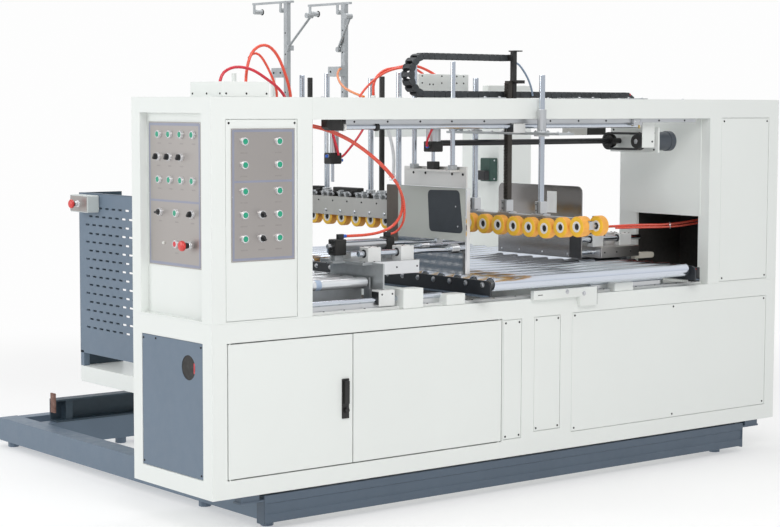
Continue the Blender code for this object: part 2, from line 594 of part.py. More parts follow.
def sill_parts():
    """Shaft, blocks and bracket on the front sill."""
    z = BASE_H + GAP
    x0, x1 = TOWER_L + 0.012, LEN - TOWER_R - 0.010
    y_s, z_s = SILL_SHAFT
    parts = [block(x0, x1, 0.032, 0.078, z, z + 0.010)]
    for a, b in ((x0, SILL_POSTS[1][0] + 0.02), (SILL_POSTS[2][0] - 0.110, SILL_POSTS[2][1] + 0.230)):
        parts.append(rod((a, y_s, z_s), (b, y_s, z_s), SILL_SHAFT_R, 10))
        parts += [block(x, x + 0.012, y_s - 0.006, y_s + 0.006, z + 0.006, z_s) for x in (a + 0.02, b - 0.05)]
    parts.append(block(SLIDE_X0, SLIDE_X1, 0.030, 0.082, z + 0.014, z + 0.078))
    for a, b, height in SILL_POSTS:
        parts.append(block(a, b, 0.004, 0.064, z, z + height))
    fuse("sill_shaft", chrome(), parts)
    x0, x1 = 1.589, 1.960
    outline = [(x0, z - 0.005), (x1 - 0.100, z - 0.005), (x1 - 0.100, z - 0.046), (x1, z - 0.046),
               (x1, z + 0.034), (x0, z + 0.034)]
    fuse("front_bracket", paint(), [profile(outline, "Y", -0.022, -GAP)])


LEFT_ROLLER_X1, LEFT_ROLLER_R, LEFT_ROLLER_Z = 0.815, 0.021, BASE_H + 0.104
LEFT_ROLLER_Y0, LEFT_ROLLERS = 0.135, 5
LEFT_ROLLER_PITCH = (DEPTH - 0.080 - LEFT_ROLLER_Y0) / (LEFT_ROLLERS - 1)


def left_rollers():
    """Slim rollers between the control tower and the left pusher."""
    z = LEFT_ROLLER_Z
    x0, x1 = TOWER_L + 0.016, LEFT_ROLLER_X1 + 0.004
    parts = [block(x, x + 0.007, 0.112, DEPTH - 0.020, z - 0.028, z + 0.020) for x in (x0, x1)]
    for i in range(LEFT_ROLLERS):
        y = LEFT_ROLLER_Y0 + i * LEFT_ROLLER_PITCH
        parts += roller(x0 + 0.011, LEFT_ROLLER_X1, y, z, x0 + 0.001, x1 + 0.006, LEFT_ROLLER_R)
    for y in (0.180, DEPTH - 0.090):
        parts.append(block(x0 + 0.001, x1 + 0.006, y - 0.010, y + 0.010, BASE_H + GAP, z - 0.024))
    fuse("left_roller_bed", chrome(), parts)


# Press.
RAIL_START, RAIL_END, SHAFT_END = 0.639, 2.620, 2.280


def linear_rail():
    """Round rail under the front beam, on its strip, with a black end block."""
    z1 = CAB_H - BEAM_H - GAP
    strip = block(RAIL_START, RAIL_END, SHAFT_Y - 0.022, SHAFT_Y + 0.022, z1 - RAIL_STRIP, z1)
    shaft = rod((RAIL_START - 0.015, SHAFT_Y, SHAFT_Z), (SHAFT_END, SHAFT_Y, SHAFT_Z), SHAFT_R, 10)
    web = block(RAIL_START + 0.006, SHAFT_END - 0.010, SHAFT_Y - 0.004, SHAFT_Y + 0.004, SHAFT_Z, z1 - 0.010)
    end = block(RAIL_START - 0.090, RAIL_START - 0.010, SHAFT_Y - 0.018, SHAFT_Y + 0.018, SHAFT_Z - 0.014, z1)
    fuse("top_linear_rail", chrome(), [strip, shaft, web, end])


BRIDGE_Y1 = DEPTH - 0.027       # where the carriage's plate ends under the rear beam
POST_X = PRESS_X + RACK_W / 2 + 0.006   # chain post, beside the rack
POST_W = 0.020
POST_TOP = CAB_H + 0.200


def carriage():
    z0, z1 = CARRIAGE_Z, CARRIAGE_Z + CARRIAGE_T
    plate = block(PRESS_X - 0.040, PRESS_X + 0.045, -0.180, BRIDGE_Y1, z0, z1)
    x0, x1 = PRESS_X - 0.103, PRESS_X - 0.038
    bearing = block(x0, x1, SHAFT_Y - 0.024, SHAFT_Y + 0.026, z0 + 0.008, SHAFT_Z + 0.0115)
    neck = block(PRESS_X - 0.030, PRESS_X + 0.030, DEPTH - BEAM_T + 0.02, BRIDGE_Y1 - 0.005, z1 - 0.002,
                 CAB_H - BEAM_H - GAP)
    near, middle, far = PRESS_RODS
    collars = [rod((PRESS_X, near, z1 - 0.002), (PRESS_X, near, CAB_H - 0.045), 0.019, 12),
               rod((PRESS_X, near, z0 - 0.006), (PRESS_X, near, z1 + 0.006), 0.032, 12),
               rod((PRESS_X, far, z1 - 0.002), (PRESS_X, far, CAB_H - 0.100), 0.019, 12)]
    cuts = [bore((PRESS_X, y, z0 - 0.05), (PRESS_X, y, CAB_H + 0.05), ROD_R) for y in (near, far)]
    half = RACK_W / 2 + RUN
    cuts.append(block(PRESS_X - half, PRESS_X + half, middle - half, middle + half, z0 - 0.05, z1 + 0.05))
    cuts.append(bore((x0 - 0.01, SHAFT_Y, SHAFT_Z), (x1 + 0.15, SHAFT_Y, SHAFT_Z), SHAFT_R))
    cuts.append(block(x0 - 0.01, x1 + 0.15, SHAFT_Y - 0.0055, SHAFT_Y + 0.0055, SHAFT_Z, SHAFT_Z + 0.05))
    fuse("press_carriage", steel(), [plate, bearing, neck] + collars, cuts)
    chain_post(middle, z1 + GAP)


def chain_post(y, z0):
    """Post beside the rack that holds the moving end of the chain."""
    x, half = POST_X, POST_W / 2
    y_arm = CHAIN_Y0 - GAP
    z_top = CAB_H + CHAIN_LIFT + CHAIN_OUT + CHAIN_OUT
    foot_plate = block(x, PRESS_X + 0.045, y - 0.022, y + 0.022, z0, z0 + 0.006)
    post = block(x, x + POST_W, y - half, y + half, z0, POST_TOP)
    arm = block(x, x + 0.016, y, y_arm, z_top - (CHAIN_OUT - CHAIN_IN), z_top)
    clamp = block(x, x + 0.040, y - 0.040, y + 0.012, CAB_H + 0.064, CAB_H + 0.078)
    cap = block(x, x + 0.042, y - 0.022, y + 0.022, POST_TOP - 0.001, POST_TOP + 0.004)
    fuse("chain_post", black(), [post, foot_plate, arm, clamp, cap])


def press_slide():
    z0, z1 = PRESS_BAR_Z, PRESS_BAR_Z + PRESS_BAR_T
    near, middle, far = PRESS_RODS
    parts = [block(PRESS_X - 0.016, PRESS_X + 0.016, near - 0.190, far + 0.060, z0, z1)]
    for y, top in zip(PRESS_RODS, PRESS_ROD_TOPS):
        half = SOCKET_W / 2
        parts.append(block(PRESS_X - half, PRESS_X + half, y - half, y + half, z1 - 0.001, z1 + SOCKET_H))
        parts.append(block(PRESS_X - 0.022, PRESS_X + 0.022, y - 0.036, y + 0.036, z1 - 0.002, z1 + 0.007))
        if y == middle:
            half = RACK_W / 2
            parts.append(block(PRESS_X - half, PRESS_X + half, y - half, y + half, z1 + 0.001, top))
        else:
            parts.append(rod((PRESS_X, y, z1 + 0.001), (PRESS_X, y, top), ROD_R, SEGMENTS))
    fuse("press_rods", chrome(), parts)
    y_last = WHEEL_Y0 + WHEEL_PITCH * (WHEELS - 1)
    bar = block(PRESS_X - 0.013, PRESS_X + 0.013, WHEEL_Y0 - 0.018, y_last + 0.030,
                WHEEL_Z - 0.014, z0 - GAP)
    parts = [bar]
    for i in range(WHEELS):
        y = WHEEL_Y0 + i * WHEEL_PITCH
        z = WHEEL_Z + WHEEL_LIFT[min(i, 2)]
        parts.append(rod((PRESS_X - WHEEL_ROW, y, z), (PRESS_X + WHEEL_ROW, y, z), 0.007, 8))
        for side in (-1, 1):
            x = PRESS_X + side * WHEEL_ROW
            parts.append(rod((x - WHEEL_W / 2, y, z), (x + WHEEL_W / 2, y, z), WHEEL_R, 16))
    fuse("press_wheels", material("yellow_wheel", YELLOW, 0.0, 0.5), parts)


BELT_X, BELT_R, BELT_W = 2.350, 0.040, 0.030
BELT_Y = 0.130                  # near pulley
BELT_TO_PLATE = 0.060


def drive():
    """Cross shaft, the belt to it, and the plate with the motor."""
    y_far, z = SHAFT_LINE
    outline = arc((y_far, z), BELT_R, -90, 90, 8) + arc((BELT_Y, z), BELT_R, 90, 270, 8)
    inside = BELT_R - 0.006
    inner = arc((y_far, z), inside, -90, 90, 8) + arc((BELT_Y, z), inside, 90, 270, 8)
    belt = profile(outline, "X", BELT_X - BELT_W / 2, BELT_X + BELT_W / 2)
    hole = profile(inner, "X", BELT_X - BELT_W, BELT_X + BELT_W)
    x = BELT_X + BELT_TO_PLATE
    shafts = [rod((FLAP_X + TIE_IN, y_far, z), (x, y_far, z), 0.0125, SEGMENTS),
              rod((BELT_X - 0.018, BELT_Y, z), (x + 0.058, BELT_Y, z), 0.012, SEGMENTS)]
    drum = [rod((BELT_X - 0.012, y, z), (BELT_X + 0.012, y, z), BELT_R - 0.004, 16) for y in (y_far, BELT_Y)]
    ring = merge([belt], [hole])
    fuse("drive_shaft", black(), [ring] + drum + shafts)
    z1 = CAB_H - BEAM_H
    plate = block(x, x + 0.010, BELT_Y - 0.070, y_far + 0.060, z - 0.050, z1 - 0.040)
    hang = block(x, x + 0.010, BELT_Y - 0.020, y_far, z1 - 0.045, z1 + TIE_UP - GAP)
    motor = rod((x + 0.008, BELT_Y, z), (x + 0.150, BELT_Y, z), 0.045, 16)
    bores = [bore((x - 0.02, y, z), (x + 0.06, y, z), 0.0125) for y in (y_far, BELT_Y)]
    fuse("drive_plate", paint(), [plate, hang, motor], bores)


CHAIN_FEET = (1.360, 1.900, 2.200)


def energy_chain():
    """The chain of the press carriage, as one fixed loop above the front beam."""
    z_low, band = CAB_H + CHAIN_LIFT, CHAIN_OUT - CHAIN_IN
    x_bend, x_low, x_top = CHAIN_BEND_X, CHAIN_LOW_X, PRESS_X + 0.040
    cz = z_low + CHAIN_OUT
    outline = [(x_low, z_low), (x_low + 0.060, z_low), (x_low, z_low + band + 0.004), (x_bend, z_low + band)]
    outline += arc((x_bend, cz), CHAIN_IN, 270, 90, 12)[1:]
    outline += [(x_top, cz + CHAIN_IN), (x_top, cz + CHAIN_OUT)]
    outline += arc((x_bend, cz), CHAIN_OUT, 90, 270, 14)[:-1] + [(x_bend, z_low)]
    body = profile(outline, "Y", CHAIN_Y0, CHAIN_Y1)
    feet = [block(x, x + 0.12, BEAM_T - 0.040, CHAIN_Y0 + 0.010, CAB_H + GAP, z_low + 0.001)
            for x in CHAIN_FEET]
    fuse("energy_chain", black(), [body] + feet)


# Infeed press and tape heads.
INFEED_X = HEAD_X
INFEED_RODS = {0.780: 0.118, 0.903: 0.100, 0.984: 0.094, 1.321: 0.120, 1.457: 0.100, 1.522: 0.113}   # Y: top
FIXED_SPINDLES = (REAR_Y + 0.055, REAR_Y + 0.397)
INFEED_PITCH = 0.110
INFEED_WHEEL_R, INFEED_WHEEL_Z = 0.038, BASE_H + 0.295
INFEED_HALF, INFEED_WALL = 0.068, 0.004      # the stainless channel that the wheels hang in
INFEED_Y0, INFEED_Y1 = 0.640, 1.560
INFEED_Z0, INFEED_Z1 = BASE_H + 0.305, BASE_H + 0.390


def infeed_press():
    """Wheels in an inverted channel that hangs on six rods."""
    half, wall, z1 = INFEED_HALF, INFEED_WALL, INFEED_Z1
    x = INFEED_X
    outline = [(x - half, INFEED_Z0), (x - half, z1), (x + half, z1), (x + half, INFEED_Z0),
               (x + half - wall, INFEED_Z0), (x + half - wall, z1 - wall), (x - half + wall, z1 - wall),
               (x - half + wall, INFEED_Z0)]
    parts = [profile(outline, "Y", INFEED_Y0, INFEED_Y1)]
    for y, rise in INFEED_RODS.items():
        parts.append(rod((x, y, z1 - 0.002), (x, y, CAB_H + rise), ROD_R, SEGMENTS))
        parts.append(rod((x, y, z1 - 0.002), (x, y, z1 + 0.035), 0.022, 10))
    z = INFEED_WHEEL_Z
    for i in range(8):
        y = INFEED_Y0 + 0.050 + i * INFEED_PITCH
        parts.append(rod((x - half + 0.001, y, z + 0.014), (x + half - 0.001, y, z + 0.014), 0.007, 6))
        for side in (-1, 1):
            a = x + side * 0.043
            parts.append(rod((a - 0.0175, y, z), (a + 0.0175, y, z), INFEED_WHEEL_R, 10))
    fuse("infeed_press", steel(), parts)


TAPE_X = HEAD_X - HEAD_W / 2
TAPE_HEADS = {     # post's Y and top, the arm's length back, then the dancer's pivot and its roll
    "front": (1.085, 0.430, 0.279, (0.027, 0.223), (-0.067, 0.370)),
    "rear": (1.538, 0.455, 0.287, (-0.030, 0.239), (-0.220, 0.384))}


ARM_BACK = 0.006      # the arms stand back from the post's face, clear of the swinging levers


def tape_heads():
    z0 = CAB_H - HEAD_DROP + GAP
    for name, (y, rise, reach, pivot_at, roll_at) in TAPE_HEADS.items():
        x, top = TAPE_X, CAB_H + rise
        post = block(x - 0.011, x + 0.011, y - 0.013, y + 0.013, z0, top)
        foot_plate = block(x - 0.022, x + 0.022, y - 0.045, y + 0.045, z0, z0 + 0.008)
        x_arm = x - 0.011 + ARM_BACK
        arm = block(x_arm, x + 0.012, y - 0.040, y + reach, top - 0.003, top + 0.007)
        hooks = []
        for dy in (reach - 0.015, 0.050):
            hooks.append(block(x_arm, x_arm + 0.004, y + dy - 0.008, y + dy + 0.008, top - 0.045, top))
            z = top - 0.036
            hooks.append(rod((x_arm + 0.002, y + dy, z), (x + 0.045, y + dy, z), 0.012, 10))
        clamp = block(x - 0.050, x - 0.010, y - 0.030, y + 0.060, CAB_H + 0.100, CAB_H + 0.145)
        y_p, z_p = y + pivot_at[0], CAB_H + pivot_at[1]
        lug = block(x - 0.011, x + 0.009, min(y, y_p - 0.012), max(y, y_p + 0.012),
                    z_p - 0.012, z_p + 0.012)
        fuse(f"tape_post_{name}", steel(), [post, foot_plate, arm, clamp, lug] + hooks)
        xa = x - 0.011 - RUN
        hinge = Vector((xa - 0.006, y_p, z_p))
        end = Vector((xa - 0.006, y + roll_at[0], CAB_H + roll_at[1]))
        lever = rod(hinge + (hinge - end) * 0.04, end, 0.006, 8)
        hub = rod((xa - 0.012, hinge.y, hinge.z), (xa, hinge.y, hinge.z), 0.012, 10)
        roll = rod((xa - 0.036, end.y, end.z), (xa - 0.001, end.y, end.z), 0.013, 10)
        arm = fuse(f"dancer_arm_{name}", steel(), [lever, hub, roll])
        pivot(arm, (xa, hinge.y, hinge.z))


# Side plates.
PLATE_Z0, PLATE_T = BASE_H + 0.112, 0.006
FLAP_PLATE_Z = (CAB_H - 0.367, CAB_H - 0.280)       # the flap plate hangs from the head
LEFT_PLATE_X, LEFT_PLATE_Y = 1.290, (0.072, 0.600)
LEFT_PLATE_H = FLAP_PLATE_Z[0] - 0.003 - PLATE_Z0    # up to just below the flap plate
RIGHT_PLATE_X, RIGHT_PLATE_Y, RIGHT_PLATE_H = 2.250, (0.380, 0.950), 0.331
PUSH_ROD_R, PISTON_R = 0.012, 0.008


def rounded_plate(y0, y1, z0, z1, x, radius=0.030):
    """A polished plate in the YZ plane with its upper corners rounded."""
    points = [(y0, z0), (y1, z0)]
    points += arc((y1 - radius, z1 - radius), radius, 0, 90, 4)
    points += arc((y0 + radius, z1 - radius), radius, 90, 180, 4)
    return profile(points, "X", x, x + PLATE_T)


LEFT_RODS = (0.150, 0.350)
LEFT_ROD_Z, LEFT_PISTON_Z = BASE_H + 0.217, BASE_H + 0.245
LEFT_BEARINGS = ((0.820, 0.885), (0.988, 1.055))
LEFT_CYLINDER = (0.721, 1.041, 0.250)    # X of its ends and Y


def left_side():
    x = LEFT_PLATE_X
    y0, y1 = LEFT_PLATE_Y
    z = LEFT_ROD_Z
    plate = rounded_plate(y0, y1, PLATE_Z0, PLATE_Z0 + LEFT_PLATE_H, x, 0.008)
    parts = [plate]
    for y in LEFT_RODS:
        parts.append(rod((LEFT_BEARINGS[0][0] - 0.028, y, z), (x + 0.002, y, z), PUSH_ROD_R, SEGMENTS))
        parts.append(rod((x - 0.020, y, z), (x + 0.002, y, z), 0.020, 10))
    cx0, cx1, cy = LEFT_CYLINDER
    zp = LEFT_PISTON_Z
    parts.append(rod((cx1 - 0.040, cy, zp), (x + 0.002, cy, zp), PISTON_R, 8))
    obj = fuse("left_plate", chrome(), parts)
    pivot(obj, (x, y0, PLATE_Z0))

    z1 = BASE_H + 0.185
    base = block(0.785, 1.070, 0.110, 0.400, z1 - 0.012, z1)
    apron = block(0.838, 1.067, 0.100, 0.1105, z1 - 0.053, z1)
    end_plate = block(SLIDE_X1 - 0.054, SLIDE_X1 - 0.046, 0.040, 0.392, BASE_H + 0.079 + GAP, z1 - 0.002)
    leg = block(1.000, 1.040, 0.345, 0.385, BASE_H + GAP, z1 - 0.004)
    blocks, cuts = [], []
    for y in LEFT_RODS:
        for bx0, bx1 in LEFT_BEARINGS:
            blocks.append(block(bx0, bx1, y - 0.030, y + 0.030, z1 - 0.002, z + 0.026))
        cuts.append(bore((0.70, y, z), (1.20, y, z), PUSH_ROD_R))
    half = 0.028
    cylinder = rod((cx0 + 0.02, cy, zp), (cx1 - 0.02, cy, zp), 0.0235, 14)
    caps = [block(ca, cb, cy - half, cy + half, z1 - 0.002, zp + half)
            for ca, cb in ((cx0, cx0 + 0.071), (cx1 - 0.048, cx1))]
    port_z = zp + half + 0.010
    caps.append(block(cx0 + 0.041, cx0 + 0.069, cy - 0.008, cy + 0.008, zp + half - 0.001, port_z + 0.009))
    caps.append(rod((cx0 + 0.068, cy, port_z), (cx0 + 0.085, cy, port_z), 0.0075, 8))
    tongue = block(cx0 + 0.004, 0.790, cy - 0.020, cy + 0.020, z1 - 0.010, z1)
    cuts.append(bore((cx1 - 0.052, cy, zp), (cx1 + 0.02, cy, zp), PISTON_R))
    fuse("left_pusher", steel(), [base, cylinder, apron, end_plate, leg, tongue] + blocks + caps, cuts)


RIGHT_RODS = (0.410, 0.500)
RIGHT_ROD_Z, RIGHT_LOW_Z, RIGHT_PISTON_Z = BASE_H + 0.196, BASE_H + 0.138, BASE_H + 0.228
RIGHT_BASE = (2.350, 2.598, 0.350, 0.535, 0.111, 0.163)   # X, Y and heights over the sill
RIGHT_BEARINGS = ((2.335, 2.404), (2.509, 2.586))


def right_side():
    x = RIGHT_PLATE_X
    y0, y1 = RIGHT_PLATE_Y
    plate = rounded_plate(y0, y1, PLATE_Z0, PLATE_Z0 + RIGHT_PLATE_H, x)
    nose = block(x - 0.004, x + 0.002, y0, y0 + 0.075, PLATE_Z0 + 0.002, PLATE_Z0 + 0.106)
    parts = [plate, nose]
    for y in RIGHT_RODS:
        end = (RIGHT_BEARINGS[1][1] + 0.070, y, RIGHT_ROD_Z)
        parts.append(rod((x + 0.002, y, RIGHT_ROD_Z), end, PUSH_ROD_R, SEGMENTS))
    bx0, bx1, by0, by1, h0, h1 = RIGHT_BASE
    low_y, mid_y = RIGHT_RODS[0] - 0.010, sum(RIGHT_RODS) / 2
    parts.append(rod((x + 0.002, low_y, RIGHT_LOW_Z), (bx0 + 0.130, low_y, RIGHT_LOW_Z), 0.010, 10))
    parts.append(rod((x + 0.002, mid_y, RIGHT_PISTON_Z), (bx0 + 0.050, mid_y, RIGHT_PISTON_Z), 0.007, 8))
    obj = fuse("right_plate", chrome(), parts)
    pivot(obj, (x, y0, PLATE_Z0))

    z1 = BASE_H + h1
    base = block(bx0, bx1, by0, by1, BASE_H + h0, z1)
    blocks, cuts = [], []
    for y in RIGHT_RODS:
        for a, b in RIGHT_BEARINGS:
            blocks.append(block(a, b, y - 0.020, y + 0.020, z1 - 0.0015, RIGHT_ROD_Z + 0.021))
        cuts.append(bore((x + 0.05, y, RIGHT_ROD_Z), (bx1 + 0.02, y, RIGHT_ROD_Z), PUSH_ROD_R))
    cuts.append(bore((bx0 - 0.02, low_y, RIGHT_LOW_Z), (bx0 + 0.135, low_y, RIGHT_LOW_Z), 0.010))
    cylinder = rod((bx0 - 0.062, mid_y, RIGHT_PISTON_Z), (bx0 + 0.080, mid_y, RIGHT_PISTON_Z), 0.0165, 12)
    caps = [block(a, b, mid_y - 0.021, mid_y + 0.021, z, BASE_H + top) for a, b, z, top in (
        (bx0 - 0.075, bx0 - 0.045, RIGHT_ROD_Z - 0.014, 0.250),
        (bx0 + 0.068, bx0 + 0.100, z1 - 0.002, 0.269))]
    knob = rod((bx0 + 0.053, mid_y, RIGHT_PISTON_Z + 0.010), (bx0 + 0.053, mid_y, BASE_H + 0.300), 0.008, 8)
    port = rod((bx0 + 0.099, mid_y, BASE_H + 0.247), (bx0 + 0.112, mid_y, BASE_H + 0.247), 0.0075, 8)
    cuts.append(bore((bx0 - 0.09, mid_y, RIGHT_PISTON_Z), (bx0 + 0.055, mid_y, RIGHT_PISTON_Z), 0.007))
    arm = block(bx1 - 0.010, 2.750, 0.400, 0.432, BASE_H + 0.094, BASE_H + h0 + 0.010)
    leg = block(bx1 - 0.030, bx1, 0.400, 0.520, BASE_H + GAP, BASE_H + h0 + 0.002)
    fuse("right_pusher", steel(), [base, cylinder, arm, leg, knob, port] + caps + blocks, cuts)


FLAP_X = LEFT_PLATE_X - 0.028
FLAP_PLATE_Y = (0.037, 0.443)
FLAP_Y, FLAP_ROD_OUT = 0.226, 0.1245     # cylinder's Y, and the guide rods either side of it
FLAP_ROD_TOP = CAB_H + 0.150
TIE_IN, TIE_W, TIE_UP = 0.026, 0.060, 0.010   # centre past the plate, width, height over the beams


def flap_press():
    """Brushed plate above the left side plate, let down by a vertical cylinder."""
    (y0, y1), (z0, z1) = FLAP_PLATE_Y, FLAP_PLATE_Z
    plate = profile([(y0, z0), (y1, z0), (y1, z1 - 0.006), (y0, z1)], "X", FLAP_X, FLAP_X + 0.006)
    shelf = block(FLAP_X - 0.050, FLAP_X + 0.006, FLAP_Y - 0.145, FLAP_Y + 0.145, z1 - 0.022, z1 - 0.014)
    x, z_shelf = FLAP_X - 0.020, z1 - 0.016
    cap0, cap1 = CAB_H - 0.222, CAB_H - 0.178
    parts = [plate, shelf, rod((x, FLAP_Y, z_shelf), (x, FLAP_Y, cap0 + 0.100), 0.008, 8),
             block(x - 0.018, x + 0.018, FLAP_Y - 0.022, FLAP_Y + 0.022, z_shelf, z_shelf + 0.034)]
    rods = (FLAP_Y - FLAP_ROD_OUT, FLAP_Y + FLAP_ROD_OUT)
    for y in rods:
        parts.append(rod((x, y, z_shelf), (x, y, FLAP_ROD_TOP), 0.010, 10))
    obj = fuse("flap_press_plate", steel(), parts)
    pivot(obj, (x, FLAP_Y, z_shelf))
    top = CAB_H - BEAM_H + TIE_UP - GAP
    tube = rod((x, FLAP_Y, cap1 - 0.010), (x, FLAP_Y, top - 0.020), 0.027, 14)
    reach = FLAP_ROD_OUT + 0.020
    caps = [block(x - 0.030, x + 0.030, FLAP_Y - 0.030, FLAP_Y + 0.030, cap0, cap1),
            block(x - 0.032, x + 0.032, FLAP_Y - reach, FLAP_Y + reach, top - 0.025, top)]
    cuts = [bore((x, FLAP_Y, cap0 - 0.03), (x, FLAP_Y, cap0 + 0.110), 0.008)]
    cuts += [bore((x, y, top - 0.06), (x, y, top + 0.06), 0.010) for y in rods]
    fuse("lift_cylinder", black(), [caps[1], tube, caps[0]], cuts)


# Hoses. Each list is the hose's own route, from where it leaves a housing to its fitting.
HOSE_R = 0.006
HOSES = {
    "hose_left_pusher": [
        (0.4585, 0.118, 1.396), (0.480, 0.118, 1.396), (0.520, 0.119, 1.394), (0.580, 0.123, 1.385),
        (0.650, 0.130, 1.367), (0.739, 0.140, 1.335), (0.829, 0.150, 1.289), (0.913, 0.160, 1.237),
        (0.971, 0.170, 1.193), (1.015, 0.180, 1.150), (1.045, 0.190, 1.104), (1.058, 0.200, 1.058),
        (1.052, 0.212, 1.012), (1.022, 0.226, 0.974), (0.965, 0.238, 0.952), (0.900, 0.247, 0.944),
        (0.840, 0.250, 0.943), (0.8065, 0.250, 0.943)],
    "hose_tower_top": [
        (0.382, 0.340, 1.5123), (0.382, 0.340, 1.540), (0.387, 0.340, 1.605), (0.406, 0.340, 1.664),
        (0.436, 0.340, 1.695), (0.473, 0.340, 1.705), (0.508, 0.340, 1.691), (0.540, 0.340, 1.655),
        (0.566, 0.340, 1.604), (0.588, 0.342, 1.550), (0.608, 0.355, 1.500), (0.622, 0.385, 1.466),
        (0.628, 0.430, 1.455), (0.628, 0.4747, 1.455)],
    "hose_tower_low": [
        (0.232, 0.300, 1.5123), (0.232, 0.300, 1.540), (0.248, 0.300, 1.588), (0.288, 0.300, 1.612),
        (0.336, 0.300, 1.616), (0.392, 0.300, 1.604), (0.452, 0.300, 1.573), (0.508, 0.302, 1.538),
        (0.550, 0.315, 1.503), (0.572, 0.345, 1.474), (0.580, 0.395, 1.458), (0.580, 0.435, 1.455),
        (0.580, 0.4747, 1.455)],
    "hose_chain": [
        (1.160, 0.527, 1.5123), (1.160, 0.527, 1.558), (1.180, 0.527, 1.593), (1.222, 0.527, 1.620),
        (1.280, 0.527, 1.630), (1.340, 0.527, 1.640), (1.400, 0.527, 1.638), (1.460, 0.527, 1.620),
        (1.508, 0.527, 1.597), (1.534, 0.527, 1.572), (1.540, 0.527, 1.550), (1.540, 0.527, 1.5123)],
    "hose_right_pusher": [
        (2.4623, 0.455, 0.907), (2.490, 0.455, 0.907), (2.540, 0.442, 0.908), (2.590, 0.415, 0.911),
        (2.650, 0.372, 0.913), (2.710, 0.320, 0.915), (2.770, 0.265, 0.923), (2.830, 0.212, 0.937),
        (2.890, 0.165, 0.951), (2.940, 0.142, 0.955), (2.965, 0.138, 0.955), (2.9845, 0.138, 0.955)],
}


def smooth_route(points, step):
    """Points at even steps along a smooth curve through the route's own points."""
    points = [Vector(p) for p in points]
    ends = [points[0] * 2 - points[1]] + points + [points[-1] * 2 - points[-2]]
    fine = []
    for a, b, c, d in zip(ends, ends[1:], ends[2:], ends[3:]):
        for i in range(12):
            t = i / 12
            fine.append(0.5 * (2 * b + (c - a) * t + (2 * a - 5 * b + 4 * c - d) * t * t
                               + (3 * b - a - 3 * c + d) * t ** 3))
    fine.append(points[-1])
    total = sum((q - p).length for p, q in zip(fine, fine[1:]))
    count = max(8, round(total / step))
    even, run, target = [fine[0]], 0.0, total / count
    for p, q in zip(fine, fine[1:]):
        length = (q - p).length
        while run + length >= target and len(even) < count:
            even.append(p.lerp(q, (target - run) / length))
            target += total / count
        run += length
    return even + [fine[-1]]


def hose(name, route):
    """A hose as a round tube along its route."""
    points = smooth_route(route, 6 * HOSE_R)
    curve = bpy.data.curves.new(name, "CURVE")
    curve.dimensions = "3D"
    curve.bevel_depth = HOSE_R
    curve.bevel_resolution = 2
    curve.use_fill_caps = True
    line = curve.splines.new("POLY")
    line.points.add(len(points) - 1)
    for spot, place in zip(line.points, points):
        spot.co = (*place, 1.0)
    curve.materials.append(rubber())
    tube = bpy.data.objects.new(name, curve)
    bpy.context.scene.collection.objects.link(tube)
    tube.parent = DATUM


# Assembly.
for old in list(bpy.data.objects):
    bpy.data.objects.remove(old)

X_MIN = RECESS_D - SHEET - GAP - STOP_REACH
X_MID = (X_MIN + LEN) / 2
Y_MIN = WHEEL_Y0 - WHEEL_R * math.cos(math.pi / 16)
Y_MID = (Y_MIN + FRAME_Y1) / 2
LIFT = RAIL_DROP + FRAME_H + FOOT_H
DATUM = bpy.data.objects.new("machine_datum", None)
bpy.context.scene.collection.objects.link(DATUM)
DATUM.location = (-X_MID, -Y_MID, LIFT)

floor_frame()
rear_rail()
base_cabinet()
towers()
top_beams()
sheets()
doors()
side_control_panel()
front_control_panel()
rear_structure()
infeed_side()
roller_bed()
sill_parts()
left_rollers()
linear_rail()
carriage()
press_slide()
drive()
energy_chain()
infeed_press()
tape_heads()
left_side()
right_side()
flap_press()
for hose_name, hose_route in HOSES.items():
    hose(hose_name, hose_route)
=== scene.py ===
import itertools
import math

import bpy
from mathutils import Matrix, Vector


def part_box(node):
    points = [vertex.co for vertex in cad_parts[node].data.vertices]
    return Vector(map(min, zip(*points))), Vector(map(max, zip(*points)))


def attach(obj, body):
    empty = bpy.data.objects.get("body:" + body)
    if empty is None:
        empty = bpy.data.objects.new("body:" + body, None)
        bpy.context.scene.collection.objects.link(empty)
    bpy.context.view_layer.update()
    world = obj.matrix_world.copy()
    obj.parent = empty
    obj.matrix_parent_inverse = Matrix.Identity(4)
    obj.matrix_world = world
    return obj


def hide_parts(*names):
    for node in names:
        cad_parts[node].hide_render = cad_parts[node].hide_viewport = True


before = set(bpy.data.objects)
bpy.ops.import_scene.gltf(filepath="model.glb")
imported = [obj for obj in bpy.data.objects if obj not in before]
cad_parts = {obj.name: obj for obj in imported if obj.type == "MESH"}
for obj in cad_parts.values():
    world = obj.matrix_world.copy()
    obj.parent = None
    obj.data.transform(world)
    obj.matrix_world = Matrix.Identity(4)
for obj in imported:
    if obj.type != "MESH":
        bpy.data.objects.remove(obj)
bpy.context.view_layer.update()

# The cabinet's near lower corner is the origin that all the places below are measured from.
DATUM = Vector(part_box("base_cabinet")[0])
MAIN = "machine_body"
UP, FRONT, LEFT, RIGHT = (0, 0, 1), (0, -1, 0), (-1, 0, 0), (1, 0, 0)
SILL_TOP = 0.6603        # top of the cabinet's sill, with the gap that keeps faces apart
BEAM_UNDER = 1.4147      # underside of the top beams, less the same gap
BEAM_TOP = 1.5

# Camera, solved on the cabinet's corners in the photograph.
YAW, PITCH, ROLL = math.radians(51.6934), math.radians(4.8193), math.radians(0.165)
EYE = Vector((-3.74586, -5.79975, 1.47037))
LENS, SENSOR = 86.628, 36.0      # millimetres


def add_object(name, data):
    obj = bpy.data.objects.new(name, data)
    bpy.context.scene.collection.objects.link(obj)
    return obj


